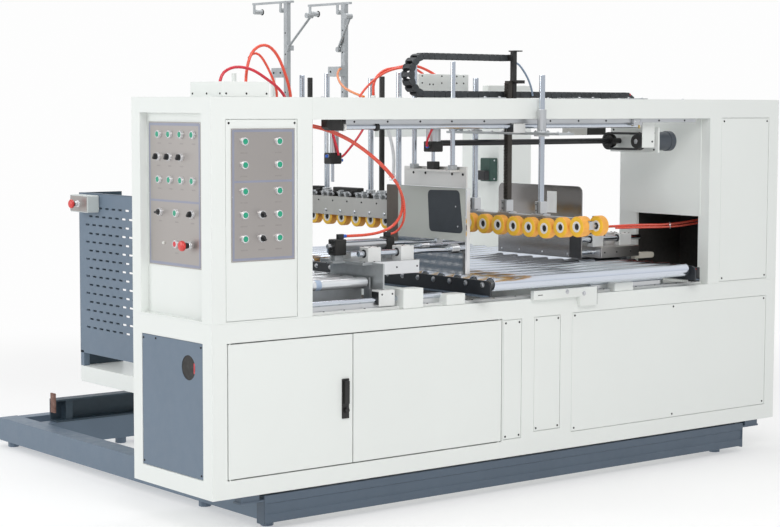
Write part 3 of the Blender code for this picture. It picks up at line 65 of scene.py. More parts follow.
def camera():
    ahead = Vector((math.cos(YAW) * math.cos(PITCH), math.sin(YAW) * math.cos(PITCH), -math.sin(PITCH)))
    right = Vector((math.sin(YAW), -math.cos(YAW), 0.0))
    up = right.cross(ahead)
    tilted_right = right * math.cos(ROLL) + up * math.sin(ROLL)
    tilted_up = up * math.cos(ROLL) - right * math.sin(ROLL)
    turn = Matrix((tilted_right, tilted_up, -ahead)).transposed()
    data = bpy.data.cameras.new("photo_camera")
    data.lens = LENS
    data.sensor_width = SENSOR
    data.sensor_fit = "HORIZONTAL"
    data.clip_end = 60.0
    cam = add_object("photo_camera", data)
    cam.matrix_world = Matrix.Translation(EYE + DATUM) @ turn.to_4x4()
    bpy.context.scene.camera = cam


camera()


# Materials. Every one is a node network over object coordinates.
def new_material(name):
    mat = bpy.data.materials.new(name)
    mat.use_nodes = True
    tree = mat.node_tree
    shader = tree.nodes["Principled BSDF"]
    return mat, tree, shader


def feed(tree, node, inputs):
    """Set a node's inputs, each to a value or to the socket that feeds it."""
    for name, value in inputs.items():
        if isinstance(value, bpy.types.NodeSocket):
            tree.links.new(value, node.inputs[name])
        else:
            node.inputs[name].default_value = value


def add_node(tree, kind, inputs):
    node = tree.nodes.new(kind)
    feed(tree, node, inputs)
    return node


def noise(tree, coord, scale, detail=3.0, stretch=(1, 1, 1), rough=0.55):
    mapping = add_node(tree, "ShaderNodeMapping", {"Scale": stretch, "Vector": coord})
    node = add_node(tree, "ShaderNodeTexNoise", {"Scale": scale, "Detail": detail, "Roughness": rough,
                                                 "Vector": mapping.outputs["Vector"]})
    return node.outputs["Fac"]


def spread(tree, value, low, high, from_low=0.3, from_high=0.7):
    """Stretch a value's range onto another."""
    node = add_node(tree, "ShaderNodeMapRange", {"From Min": from_low, "From Max": from_high, "To Min": low,
                                                 "To Max": high, "Value": value})
    return node.outputs["Result"]


def mix(tree, factor, first, second):
    """Mix two colours. The factor and both colours may be sockets."""
    first, second = [(*c, 1.0) if isinstance(c, tuple) else c for c in (first, second)]
    node = tree.nodes.new("ShaderNodeMix")
    node.data_type = "RGBA"
    feed(tree, node, {0: factor, 6: first, 7: second})
    return node.outputs[2]


def blend(tree, share, first, second):
    """Mix two shaders by the share that a socket gives."""
    return add_node(tree, "ShaderNodeMixShader", {0: share, 1: first.outputs[0], 2: second.outputs[0]})


def tint(colour, k):
    return tuple(min(1.0, c * k) for c in colour)


METAL_FROM = 0.4         # metallic share above which a finish is smooth like metal
METAL_UNEVEN = 0.015     # how far a metal's roughness strays from its middle
METAL_BUMP = 0.25        # share of the bump that a metal keeps


def surface(name, colour, metallic, low, high, vary, scale, grain, bump, stretch=(1, 1, 1), other=None,
            coat=0.0):
    """General finish: cloudy colour, uneven roughness, fine grain in the bump, optional second colour."""
    metal = metallic > METAL_FROM
    mat, tree, shader = new_material(name)
    coord = tree.nodes.new("ShaderNodeTexCoord").outputs["Object"]
    cloud = noise(tree, coord, scale, 4.0)
    dark = other or tint(colour, 1.0 - vary * 2)
    shade = mix(tree, spread(tree, cloud, 0.0, 1.0), tint(colour, 1.0 + vary * 0.3), dark)
    if stretch != (1, 1, 1):
        lines = noise(tree, coord, grain * 0.25, 2.0, stretch, 0.7)
        shade = mix(tree, spread(tree, lines, 0.0, 0.35), shade, tint(colour, 1.0 - vary * 3))
    uneven = noise(tree, coord, scale * (2.0 if metal else 7.0), 3.0, stretch)
    if metal:
        middle = (low + high) / 2
        low, high = middle - METAL_UNEVEN, middle + METAL_UNEVEN
    relief = add_node(tree, "ShaderNodeBump", {"Strength": bump * (METAL_BUMP if metal else 1.0),
                                               "Distance": 0.0004 if metal else 0.001,
                                               "Height": noise(tree, coord, grain, 2.0, stretch)})
    feed(tree, shader, {"Base Color": shade, "Metallic": metallic,
                        "Roughness": spread(tree, uneven, low, high), "Normal": relief.outputs["Normal"]})
    if coat:
        feed(tree, shader, {"Coat Weight": coat, "Coat Roughness": 0.15})
    return mat


# Name, colour, metallic, lowest and highest roughness, colour variation, scale of the clouds, scale of the
# grain, bump, and anything more.
FINISHES = {
    "white": ("white_powder_coat", (0.835, 0.862, 0.838), 0, 0.3, 0.42, 0.012, 1.7, 420, 0.1),
    # A darker copy of the white paint for white parts in shade: painted shade.
    "white_in_shade": ("white_inner_coat", (0.56, 0.555, 0.53), 0, 0.38, 0.5, 0.02, 3, 420, 0.1),
    "blue": ("blue_grey_coat", (0.148, 0.2, 0.265), 0, 0.38, 0.52, 0.03, 3, 380, 0.12),
    "blue_rail": ("shaded_blue_coat", (0.085, 0.118, 0.16), 0, 0.38, 0.52, 0.04, 4, 380, 0.12),
    "channel": ("dark_channel_coat", (0.024, 0.028, 0.034), 0, 0.32, 0.48, 0.12, 9, 380, 0.12),
    # A darker copy of the blue paint for blue parts in shade: painted shade.
    "blue_in_shade": ("dark_blue_coat", (0.036, 0.062, 0.086), 0, 0.4, 0.6, 0.12, 9, 380, 0.15),
    "panel": ("stainless_face", (0.44, 0.41, 0.39), 1, 0.34, 0.44, 0.03, 2, 900, 0.04,
              {"stretch": (40, 40, 1)}),
    "brushed": ("brushed_stainless", (0.56, 0.55, 0.53), 1, 0.26, 0.4, 0.05, 4, 800, 0.06,
                {"stretch": (1, 1, 30)}),
    "galv": ("galvanised_bar", (0.5, 0.52, 0.53), 0.85, 0.34, 0.55, 0.1, 16, 200, 0.08),
    "chrome": ("ground_chrome", (0.62, 0.66, 0.72), 1, 0.1, 0.17, 0.01, 8, 600, 0.02),
    "roller": ("roller_tube", (0.66, 0.7, 0.77), 1, 0.14, 0.22, 0.01, 9, 500, 0.03),
    "mirror": ("polished_sheet", (0.7, 0.7, 0.7), 1, 0.05, 0.09, 0.01, 3, 500, 0.02),
    "alu": ("machined_aluminium", (0.62, 0.63, 0.64), 1, 0.22, 0.36, 0.04, 9, 600, 0.05),
    "block": ("bearing_block", (0.8, 0.81, 0.8), 0.15, 0.3, 0.5, 0.05, 14, 500, 0.05),
    "black": ("black_plastic", (0.018, 0.019, 0.021), 0, 0.32, 0.5, 0.2, 12, 500, 0.12),
    "chain": ("chain_plastic", (0.045, 0.05, 0.055), 0, 0.42, 0.6, 0.2, 20, 400, 0.2),
    "oxide": ("black_oxide", (0.035, 0.034, 0.033), 0.4, 0.35, 0.55, 0.2, 15, 400, 0.12),
    "rack": ("dark_rack_steel", (0.075, 0.068, 0.06), 0.7, 0.35, 0.5, 0.15, 15, 300, 0.1),
    "screw": ("black_screw", (0.02, 0.02, 0.022), 0.5, 0.3, 0.5, 0.1, 60, 900, 0.05),
    "bolt": ("zinc_bolt", (0.62, 0.63, 0.65), 1, 0.22, 0.35, 0.06, 60, 900, 0.05),
    "green": ("green_lens", (0.01, 0.36, 0.205), 0, 0.25, 0.4, 0.05, 60, 700, 0.04, {"coat": 0.3}),
    "red": ("red_button", (0.66, 0.03, 0.045), 0, 0.28, 0.4, 0.05, 40, 600, 0.04, {"coat": 0.3}),
    "stop": ("stop_button_red", (0.72, 0.055, 0.05), 0, 0.3, 0.42, 0.05, 30, 600, 0.05, {"coat": 0.2}),
    "hose": ("red_hose", (0.86, 0.095, 0.05), 0, 0.22, 0.34, 0.05, 25, 500, 0.03, {"coat": 0.3}),
    "hose_deep": ("deep_red_hose", (0.7, 0.02, 0.045), 0, 0.22, 0.34, 0.05, 25, 500, 0.03, {"coat": 0.3}),
    "hose_orange": ("orange_hose", (0.9, 0.24, 0.035), 0, 0.22, 0.34, 0.05, 25, 500, 0.03, {"coat": 0.3}),
    "tyre": ("yellow_tyre", (1, 0.58, 0.045), 0, 0.42, 0.58, 0.05, 30, 260, 0.25),
    # The tread is the tyre's yellow made darker and more orange: painted shade.
    "tread": ("orange_tread", (0.93, 0.44, 0.075), 0, 0.45, 0.6, 0.06, 30, 260, 0.3),
    "valve_green": ("green_valve_box", (0.03, 0.075, 0.06), 0, 0.4, 0.55, 0.1, 30, 400, 0.1),
    "conduit": ("pale_conduit", (0.78, 0.8, 0.82), 0, 0.35, 0.5, 0.03, 30, 400, 0.1),
    "cable_blue": ("grey_blue_cable", (0.24, 0.31, 0.42), 0, 0.35, 0.5, 0.03, 30, 400, 0.1),
    "box_grey": ("light_grey_box", (0.6, 0.64, 0.63), 0, 0.35, 0.5, 0.03, 9, 400, 0.08),
    "hub": ("white_hub", (0.8, 0.79, 0.77), 0, 0.3, 0.45, 0.04, 40, 500, 0.05),
    "ring_blue": ("blue_collar", (0.03, 0.14, 0.62), 0, 0.3, 0.4, 0.05, 50, 500, 0.04),
    "line": ("panel_border", (0.33, 0.345, 0.43), 0.5, 0.35, 0.5, 0.05, 9, 500, 0.03),
    "label": ("blank_label", (0.36, 0.335, 0.32), 0.5, 0.4, 0.5, 0.05, 50, 500, 0.03),
    "sticker": ("blank_sticker", (0.82, 0.82, 0.81), 0, 0.35, 0.5, 0.02, 30, 500, 0.02),
    "rust": ("rusty_plate", (0.3, 0.185, 0.15), 0.2, 0.6, 0.85, 0.25, 40, 300, 0.5,
             {"other": (0.16, 0.07, 0.05)}),
    "brass": ("brass_fitting", (0.62, 0.44, 0.16), 1, 0.2, 0.35, 0.06, 40, 500, 0.04),
    "carton": ("brown_board", (0.46, 0.33, 0.2), 0, 0.7, 0.85, 0.08, 12, 200, 0.15),
    # Near-black stand-in for shade in holes, slits, recesses and gaps: painted shade.
    "dark": ("dark_inside", (0.03, 0.028, 0.026), 0, 0.6, 0.8, 0.15, 8, 200, 0.2),
    "grey": ("grey_cover", (0.06, 0.072, 0.09), 0, 0.35, 0.5, 0.08, 8, 400, 0.08),
    "bezel": ("bright_bezel", (0.84, 0.85, 0.87), 0.55, 0.22, 0.32, 0.03, 40, 600, 0.02),
    "brushed_pale": ("pale_brushed_sheet", (0.78, 0.77, 0.74), 0.9, 0.3, 0.42, 0.04, 5, 800, 0.05,
                     {"stretch": (1, 30, 1)}),
    "sheet_bright": ("bright_sheet", (0.8, 0.81, 0.82), 0.8, 0.22, 0.36, 0.04, 6, 700, 0.03),
    # These two paint the left mirror plate's pale and brown reflections as colour: painted reflection.
    "plate_face": ("ground_plate_face", (0.6, 0.62, 0.58), 0.2, 0.16, 0.24, 0.01, 2, 600, 0.02),
    "plate_reflection_brown": ("tarnished_edge", (0.17, 0.145, 0.125), 0.6, 0.25, 0.4, 0.1, 9, 600, 0.03),
    "pad": ("dark_pad", (0.05, 0.058, 0.068), 0.2, 0.28, 0.4, 0.08, 12, 500, 0.05),
    "mirror_dark": ("dark_polished_sheet", (0.3, 0.29, 0.285), 1, 0.08, 0.16, 0.04, 3, 500, 0.02),
    "housing": ("brushed_housing", (0.5, 0.48, 0.46), 1, 0.26, 0.4, 0.05, 6, 800, 0.06,
                {"stretch": (30, 1, 1)}),
    "cream": ("cream_beam", (0.8, 0.76, 0.66), 0, 0.35, 0.5, 0.03, 10, 400, 0.08),
    "roller_white": ("pale_roller_tube", (0.8, 0.82, 0.84), 0.6, 0.18, 0.3, 0.04, 9, 500, 0.03),
    "ring_pale": ("pale_blue_band", (0.42, 0.52, 0.68), 0, 0.35, 0.5, 0.04, 30, 500, 0.03),
    "lamp": ("pilot_lamp", (0.8, 0.8, 0.76), 0, 0.2, 0.3, 0.04, 60, 500, 0.03, {"coat": 0.5}),
}
M = {}
for look, (title, *finish) in FINISHES.items():
    more = finish.pop() if isinstance(finish[-1], dict) else {}
    M[look] = surface(title, *finish, **more)


CLOSED = 1e-7            # a radius below this closes the end of a turned shape
EDGE = 0.001             # chamfer of edges
SMOOTH = math.radians(35)  # faces that meet at less than this angle are shaded as one
FOUR_ROUND = (45, 315, 3)  # first and last angle and the steps of four places round a circle
BLOCK_FACES = [[0, 1, 2, 3], [7, 6, 5, 4], [0, 4, 5, 1], [1, 5, 6, 2], [2, 6, 7, 3], [3, 7, 4, 0]]


def arc(u, v, radius, first, last, steps):
    """Points along an arc, between two angles in degrees."""
    angles = [math.radians(first + (last - first) * k / steps) for k in range(steps + 1)]
    return [(u + radius * math.cos(t), v + radius * math.sin(t)) for t in angles]


def pairings(*spans):
    """Every place from three spans, each of which is one number or several."""
    return itertools.product(*[(span,) if isinstance(span, (int, float)) else span for span in spans])


class Kit:
    """Collects solid shapes for one piece. Places are in the cabinet's own measures."""

    def __init__(self, name, body=MAIN, slot=None, replaces=()):
        self.name, self.body, self.slot, self.stands = name, body, slot, replaces
        self.points, self.faces, self.looks, self.mats = [], [], [], []

    def use(self, mat):
        if mat not in self.mats:
            self.mats.append(mat)
        return self.mats.index(mat)

    def add(self, points, faces, mat):
        first, look = len(self.points), self.use(mat)
        self.points.extend(tuple(p) for p in points)
        for face in faces:
            self.faces.append([first + i for i in face])
            self.looks.append(look)

    def box(self, x0, x1, y0, y1, z0, z1, mat, edge=EDGE):
        """A box with a small chamfer on all its edges."""
        lo, hi = (x0, y0, z0), (x1, y1, z1)
        edge = min(edge, (x1 - x0) * 0.45, (y1 - y0) * 0.45, (z1 - z0) * 0.45)
        points, index = [], {}
        for corner in range(8):
            bits = [(corner >> k) & 1 for k in range(3)]
            for axis in range(3):
                p = [hi[k] if bits[k] else lo[k] for k in range(3)]
                for k in range(3):
                    if k != axis:
                        p[k] += -edge if bits[k] else edge
                index[(corner, axis)] = len(points)
                points.append(p)
        faces = []
        for axis in range(3):
            a, b = [k for k in range(3) if k != axis]
            for side in (0, 1):
                ring = [(0, 0), (1, 0), (1, 1), (0, 1)]
                face = [index[((side << axis) | (i << a) | (j << b), axis)] for i, j in ring]
                flip = (side == 0) != (axis == 1)
                faces.append(face[::-1] if flip else face)
            for i in (0, 1):
                for j in (0, 1):
                    c0 = (i << a) | (j << b)
                    c1 = c0 | (1 << axis)
                    face = [index[(c0, a)], index[(c0, b)], index[(c1, b)], index[(c1, a)]]
                    flip = ((i ^ j) == 1) != (axis == 1)
                    faces.append(face[::-1] if not flip else face)
        for corner in range(8):
            face = [index[(corner, k)] for k in range(3)]
            odd = bin(corner).count("1") % 2
            faces.append(face if odd else face[::-1])
        self.add(points, faces, mat)

    def lathe(self, origin, axis, outline, mat, seg, wobble=None, spin=0.0):
        """Turn (radius, height) pairs round an axis. A radius of zero closes the end."""
        origin, axis = Vector(origin), Vector(axis).normalized()
        side = axis.orthogonal().normalized()
        other = axis.cross(side)
        points, rings = [], []
        for radius, height in outline:
            if radius < CLOSED:
                rings.append([len(points)])
                points.append(origin + axis * height)
                continue
            ring = []
            for i in range(seg):
                a = 2 * math.pi * i / seg + spin
                r = radius if wobble is None else radius * wobble(i)
                ring.append(len(points))
                points.append(origin + axis * height + (side * math.cos(a) + other * math.sin(a)) * r)
            rings.append(ring)
        faces = []
        for low, high in zip(rings, rings[1:]):
            if len(low) == 1 and len(high) == 1:
                continue
            for i in range(seg):
                j = (i + 1) % seg
                if len(low) == 1:
                    faces.append([low[0], high[j], high[i]])
                elif len(high) == 1:
                    faces.append([low[i], low[j], high[0]])
                else:
                    faces.append([low[i], low[j], high[j], high[i]])
        self.add(points, faces, mat)

    def rod(self, start, end, radius, mat, seg):
        """A round bar with chamfered ends."""
        start, end = Vector(start), Vector(end)
        length = (end - start).length
        edge = min(EDGE, radius * 0.4, length * 0.4)
        self.lathe(start, end - start, [(0, 0), (radius - edge, 0), (radius, edge),
                   (radius, length - edge), (radius - edge, length), (0, length)], mat, seg)

    def disc(self, place, axis, radius, height, mat, seg):
        """A plain turned disc or barrel, closed at both ends."""
        self.lathe(place, axis, [(0, 0), (radius, 0), (radius, height), (0, height)], mat, seg)

    def collar(self, place, axis, inner, radius, height, mat, seg):
        """A turned ring with both outer edges chamfered."""
        self.lathe(place, axis, [(inner, 0), (radius - EDGE, 0), (radius, EDGE), (radius, height - EDGE),
                   (radius - EDGE, height), (inner, height)], mat, seg)

    def prism(self, outline, axis, start, end, mat):
        """Extrude a flat outline along X, Y or Z; the outline lies in the other two."""
        order = {"X": (2, 0, 1), "Y": (0, 2, 1), "Z": (0, 1, 2)}[axis]
        area = sum(a[0] * b[1] - b[0] * a[1] for a, b in zip(outline, outline[1:] + outline[:1]))
        if area < 0:
            outline = outline[::-1]
        count = len(outline)
        points = []
        for depth in (start, end):
            for a, b in outline:
                flat = (a, b, depth)
                points.append([flat[i] for i in order])
        faces = [list(range(count))[::-1], [count + i for i in range(count)]]
        for i in range(count):
            j = (i + 1) % count
            faces.append([i, j, count + j, count + i])
        if (axis == "Y") != (end < start):
            faces = [f[::-1] for f in faces]
        self.add(points, faces, mat)

    def screw(self, place, axis, radius=0.0045, height=0.0022, mat="screw"):
        """A button-head screw with a socket."""
        r, h = radius, height
        self.lathe(place, axis, [(r, -0.0005), (r, h * 0.35), (r * 0.82, h * 0.85), (r * 0.48, h),
                   (r * 0.42, h * 0.45), (0, h * 0.45)], mat, 12)

    def screws(self, xs, ys, zs, axis, *size):
        for place in pairings(xs, ys, zs):
            self.screw(place, axis, *size)

    def hexbolt(self, place, axis, radius=0.008, height=0.006):
        """A hexagon head on a washer."""
        r, h = radius, height
        self.lathe(place, axis, [(r * 1.45, -0.0005), (r * 1.45, 0.0012), (r * 1.35, 0.0016),
                   (0, 0.0016)], "bolt", 16)
        self.lathe(place, axis, [(r, 0.0014), (r, h * 0.85), (r * 0.86, h), (0, h)], "bolt", 6)

    def hexbolts(self, xs, ys, zs, axis, *size):
        for place in pairings(xs, ys, zs):
            self.hexbolt(place, axis, *size)

    def done(self):
        mesh = bpy.data.meshes.new(self.name)
        mesh.from_pydata(self.points, [], self.faces)
        for mat in self.mats:
            mesh.materials.append(M[mat])
        mesh.polygons.foreach_set("material_index", self.looks)
        mesh.shade_smooth()
        mesh.set_sharp_from_angle(angle=SMOOTH)
        obj = add_object(self.name, mesh)
        obj.location = DATUM
        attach(obj, self.body)
        if self.stands:
            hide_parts(*self.stands)


def piece(*about, **more):
    """It takes what Kit takes."""
    def build(fill):
        kit = Kit(*about, **more)
        fill(kit)
        kit.done()
        return fill
    return build


# Hoses. Their routes repeat the ones of the part's source, so each lies where its solid is.
HOSE_R = 0.006
AIR_HOSES = {
    "hose_left_pusher": ("hose", [
        (0.4585, 0.118, 1.396), (0.48, 0.118, 1.396), (0.52, 0.119, 1.394), (0.58, 0.123, 1.385),
        (0.65, 0.13, 1.367), (0.739, 0.14, 1.335), (0.829, 0.15, 1.289), (0.913, 0.16, 1.237),
        (0.971, 0.17, 1.193), (1.015, 0.18, 1.15), (1.045, 0.19, 1.104), (1.058, 0.2, 1.058),
        (1.052, 0.212, 1.012), (1.022, 0.226, 0.974), (0.965, 0.238, 0.952), (0.9, 0.247, 0.944),
        (0.84, 0.25, 0.943), (0.8065, 0.25, 0.943)]),
    "hose_tower_top": ("hose", [
        (0.382, 0.34, 1.5123), (0.382, 0.34, 1.54), (0.387, 0.34, 1.605), (0.406, 0.34, 1.664),
        (0.436, 0.34, 1.695), (0.473, 0.34, 1.705), (0.508, 0.34, 1.691), (0.54, 0.34, 1.655),
        (0.566, 0.34, 1.604), (0.588, 0.342, 1.55), (0.608, 0.355, 1.5), (0.622, 0.385, 1.466),
        (0.628, 0.43, 1.455), (0.628, 0.4747, 1.455)]),
    "hose_tower_low": ("hose_deep", [
        (0.232, 0.3, 1.5123), (0.232, 0.3, 1.54), (0.248, 0.3, 1.588), (0.288, 0.3, 1.612),
        (0.336, 0.3, 1.616), (0.392, 0.3, 1.604), (0.452, 0.3, 1.573), (0.508, 0.302, 1.538),
        (0.55, 0.315, 1.503), (0.572, 0.345, 1.474), (0.58, 0.395, 1.458), (0.58, 0.435, 1.455),
        (0.58, 0.4747, 1.455)]),
    "hose_chain": ("hose", [
        (1.16, 0.527, 1.5123), (1.16, 0.527, 1.558), (1.18, 0.527, 1.593), (1.222, 0.527, 1.62),
        (1.28, 0.527, 1.63), (1.34, 0.527, 1.64), (1.4, 0.527, 1.638), (1.46, 0.527, 1.62),
        (1.508, 0.527, 1.597), (1.534, 0.527, 1.572), (1.54, 0.527, 1.55), (1.54, 0.527, 1.5123)]),
    "hose_right_pusher": ("hose", [
        (2.4623, 0.455, 0.907), (2.49, 0.455, 0.907), (2.54, 0.442, 0.908), (2.59, 0.415, 0.911),
        (2.65, 0.372, 0.913), (2.71, 0.32, 0.915), (2.77, 0.265, 0.923), (2.83, 0.212, 0.937),
        (2.89, 0.165, 0.951), (2.94, 0.142, 0.955), (2.965, 0.138, 0.955), (2.9845, 0.138, 0.955)]),
}


def smooth_route(points, step):
    """Points at even steps along a smooth curve through the route's own points."""
    points = [Vector(p) for p in points]
    ends = [points[0] * 2 - points[1]] + points + [points[-1] * 2 - points[-2]]
    fine = []
    for a, b, c, d in zip(ends, ends[1:], ends[2:], ends[3:]):
        for i in range(12):
            t = i / 12
            square, cube = (2 * a - 5 * b + 4 * c - d) * t * t, (3 * b - a - 3 * c + d) * t ** 3
            fine.append(0.5 * (2 * b + (c - a) * t + square + cube))
    fine.append(points[-1])
    total = sum((q - p).length for p, q in zip(fine, fine[1:]))
    count = max(8, round(total / step))
    even, run, target = [fine[0]], 0.0, total / count
    for p, q in zip(fine, fine[1:]):
        length = (q - p).length
        while run + length >= target and len(even) < count:
            even.append(p.lerp(q, (target - run) / length))
            target += total / count
        run += length
    return even + [fine[-1]]


def air_hose(name, look, route, radius=HOSE_R, replaces=True):
    """A free hose or cable along a route. It stands for the CAD node of its name if there is one."""
    points = smooth_route(route, 3 * radius)
    curve = bpy.data.curves.new(name, "CURVE")
    curve.dimensions = "3D"
    curve.bevel_depth = radius
    curve.bevel_resolution = 4
    curve.use_fill_caps = True
    line = curve.splines.new("POLY")
    line.points.add(len(points) - 1)
    for spot, place in zip(line.points, points):
        spot.co = (*place, 1.0)
    line.use_smooth = True
    curve.materials.append(M[look])
    tube = add_object(f"air_{name}", curve)
    tube.location = DATUM
    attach(tube, MAIN)
    if replaces:
        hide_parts(name)


for hose_name, (hose_look, hose_route) in AIR_HOSES.items():
    air_hose(hose_name, hose_look, hose_route)


# Finish of the CAD nodes that stay in view.
NODE_LOOKS = {
    "white": "base_cabinet left_tower right_tower top_front_beam top_rear_beam head_tie drive_tie "
             "top_cover_box front_backing_panel right_tower_front_panel narrow_panel_left narrow_panel_right "
             "front_lower_panel left_door right_door rear_base rear_gantry infeed_table_box front_bracket",
    "blue": "floor_frame side_lower_panel",
    "blue_rail": "floor_rail_front",
    # The rear rail takes the darker blue: painted shade.
    "blue_in_shade": "rear_rail",
    "galv": "tape_post_front tape_post_rear dancer_arm_front dancer_arm_rear",
    "oxide": "door_lock chain_post",
    "rust": "rail_stop",
}
for look, names in NODE_LOOKS.items():
    for name in names.split():
        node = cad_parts[name]
        for held in node.material_slots:
            held.material = M[look]


def soften(name, width):
    """A small bevel on the edges of a CAD node."""
    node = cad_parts[name]
    weld = node.modifiers.new("weld", "WELD")
    weld.merge_threshold = 0.00002
    step = node.modifiers.new("edge", "BEVEL")
    step.width = width
    step.segments = 2
    step.limit_method = "ANGLE"
    step.angle_limit = math.radians(50)
    step.harden_normals = True


for name in ("top_cover_box", "rear_base", "infeed_table_box", "front_bracket", "floor_rail_front",
             "floor_frame", "rear_rail"):
    soften(name, 0.0018)
for name in ("left_door", "right_door", "front_lower_panel", "narrow_panel_left", "narrow_panel_right",
             "right_tower_front_panel", "front_backing_panel", "tape_post_front", "tape_post_rear",
             "chain_post"):
    soften(name, 0.001)


# Control panels.
SIDE_X = 0.0297          # outer face of the side plate
FRONT_Y = -0.0023        # outer face of the front plate


def push_button(kit, place, axis, colour):
    """A bright bezel with a shallow coloured cap."""
    p, a = Vector(place), Vector(axis)
    kit.lathe(p, a, [(0.015, 0.0), (0.015, 0.0075), (0.0145, 0.0102), (0.0134, 0.0112), (0.0112, 0.0112),
              (0.0106, 0.009), (0.0, 0.009)], "bezel", 32)
    kit.lathe(p, a, [(0.0104, 0.0085), (0.0104, 0.011), (0.0097, 0.012), (0.006, 0.0124), (0.0, 0.0125)],
              colour, 28)


def selector(kit, place, axis, turn):
    """A black selector switch in a bright bezel, turned by an angle."""
    p, a = Vector(place), Vector(axis)
    kit.lathe(p, a, [(0.015, 0.0), (0.015, 0.0075), (0.0145, 0.0102), (0.0134, 0.0112), (0.0122, 0.0108),
              (0.0, 0.01)], "bezel", 32)
    kit.lathe(p, a, [(0.012, 0.009), (0.0118, 0.0135), (0.0105, 0.015), (0.0, 0.015)], "black", 28)
    side = Vector(UP).cross(a).normalized()
    up = Vector(UP) * math.cos(turn) + side * math.sin(turn)
    across = a.cross(up)
    points = []
    for depth, half, tip in ((0.014, 0.0052, 0.0125), (0.025, 0.0034, 0.0112)):
        for u, v in ((-tip * 0.8, -half), (tip, -half), (tip, half), (-tip * 0.8, half)):
            points.append(p + a * depth + up * u + across * v)
    kit.add(points, BLOCK_FACES, "black")


def mushroom(kit, place, axis, neck):
    """A red stop button on a black neck."""
    p, a = Vector(place), Vector(axis)
    kit.lathe(p, a, [(0.015, 0.0), (0.015, 0.008), (0.0135, 0.011), (0.0, 0.011)], "bezel", 28)
    kit.lathe(p, a, [(0.0115, 0.01), (0.012, neck + 0.002), (0.0, neck + 0.002)], "black", 24)
    kit.lathe(p, a, [(0.015, neck), (0.0185, neck + 0.002), (0.02, neck + 0.006), (0.0198, neck + 0.01),
              (0.018, neck + 0.015), (0.014, neck + 0.0178), (0.007, neck + 0.0186),
              (0.0, neck + 0.0184)], "stop", 36)


def inlay(kit, axis, face, a0, a1, z0, z1, mat):
    """A thin strip let into the face of a control plate that looks along X or Y."""
    depth = (face - 0.0003, face + 0.0002)
    spans = (*depth, a0, a1) if axis == "X" else (a0, a1, *depth)
    kit.box(*spans, z0, z1, mat, 0.0)


def panel_frame(kit, axis, a0, a1, z0, z1, face, width, divider):
    """Border of a control plate, as inlaid strips."""
    m = 0.004            # margin outside the border
    strips = [(a0 + m, a1 - m, z1 - m - width, z1 - m), (a0 + m, a1 - m, z0 + m, z0 + m + width),
              (a0 + m, a0 + m + width, z0 + m + width, z1 - m - width),
              (a1 - m - width, a1 - m, z0 + m + width, z1 - m - width),
              (a0 + m + width, a1 - m - width, divider - 0.004, divider + 0.004)]
    for strip in strips:
        inlay(kit, axis, face, *strip, "line")


SIDE_GREEN = [(y, 1.358) for y in (0.41, 0.331, 0.25, 0.166)]
SIDE_GREEN += [(y, 1.185) for y in (0.409, 0.329, 0.247, 0.166)] + [(0.287, 1.06)]
SIDE_BLACK = [(0.416, 1.272), (0.335, 1.272), (0.251, 1.272), (0.404, 1.06), (0.176, 1.06)]


@piece("side_controls", slot="brushed_steel", replaces=("side_control_panel",))
def side_controls(kit):
    kit.box(SIDE_X, 0.0327, 0.117, 0.489, 0.855, 1.405, "panel", 0.0008)
    panel_frame(kit, "X", 0.117, 0.489, 0.855, 1.405, SIDE_X, 0.01, 1.104)
    for y, z in SIDE_GREEN:
        push_button(kit, (SIDE_X, y, z), LEFT, "green")
    for i, (y, z) in enumerate(SIDE_BLACK):
        selector(kit, (SIDE_X, y, z), LEFT, (0.6, 0.5, 0.5, 1.4, 0.7)[i])
    push_button(kit, (SIDE_X, 0.288, 0.942), LEFT, "red")
    mushroom(kit, (SIDE_X, 0.194, 0.942), LEFT, 0.028)
    kit.lathe((SIDE_X, 0.38, 0.942), LEFT, [(0.0068, 0), (0.0068, 0.002), (0.0055, 0.006),
              (0.0, 0.0072)], "lamp", 20)
    for y, z in SIDE_GREEN + SIDE_BLACK + [(0.288, 0.942)]:
        inlay(kit, "X", SIDE_X, y - 0.012, y + 0.012, z - 0.037, z - 0.032, "label")
    kit.screws(SIDE_X, (0.121, 0.485), (0.859, 1.13, 1.401), LEFT, 0.0018, 0.001, "bolt")


@piece("front_controls", slot="brushed_steel", replaces=("front_control_panel",))
def front_controls(kit):
    kit.box(0.087, 0.374, FRONT_Y, 0.0007, 0.888, 1.383, "panel", 0.0008)
    panel_frame(kit, "Y", 0.087, 0.374, 0.888, 1.383, FRONT_Y, 0.009, 1.186)
    for x in (0.143, 0.298):
        for z in (1.335, 1.248, 1.15, 1.062, 0.973):
            push_button(kit, (x, FRONT_Y, z), FRONT, "green")
            inlay(kit, "Y", FRONT_Y, x - 0.015, x + 0.015, z - 0.045, z - 0.04, "label")
    for z in (1.062, 0.973):
        selector(kit, (0.221, FRONT_Y, z), FRONT, -0.7)
        inlay(kit, "Y", FRONT_Y, 0.206, 0.236, z - 0.045, z - 0.04, "label")
    kit.screws((0.091, 0.37), FRONT_Y, (0.892, 1.13, 1.379), FRONT, 0.0018, 0.001, "bolt")


# Screws of the covers.
RIM_LOW = 0.084


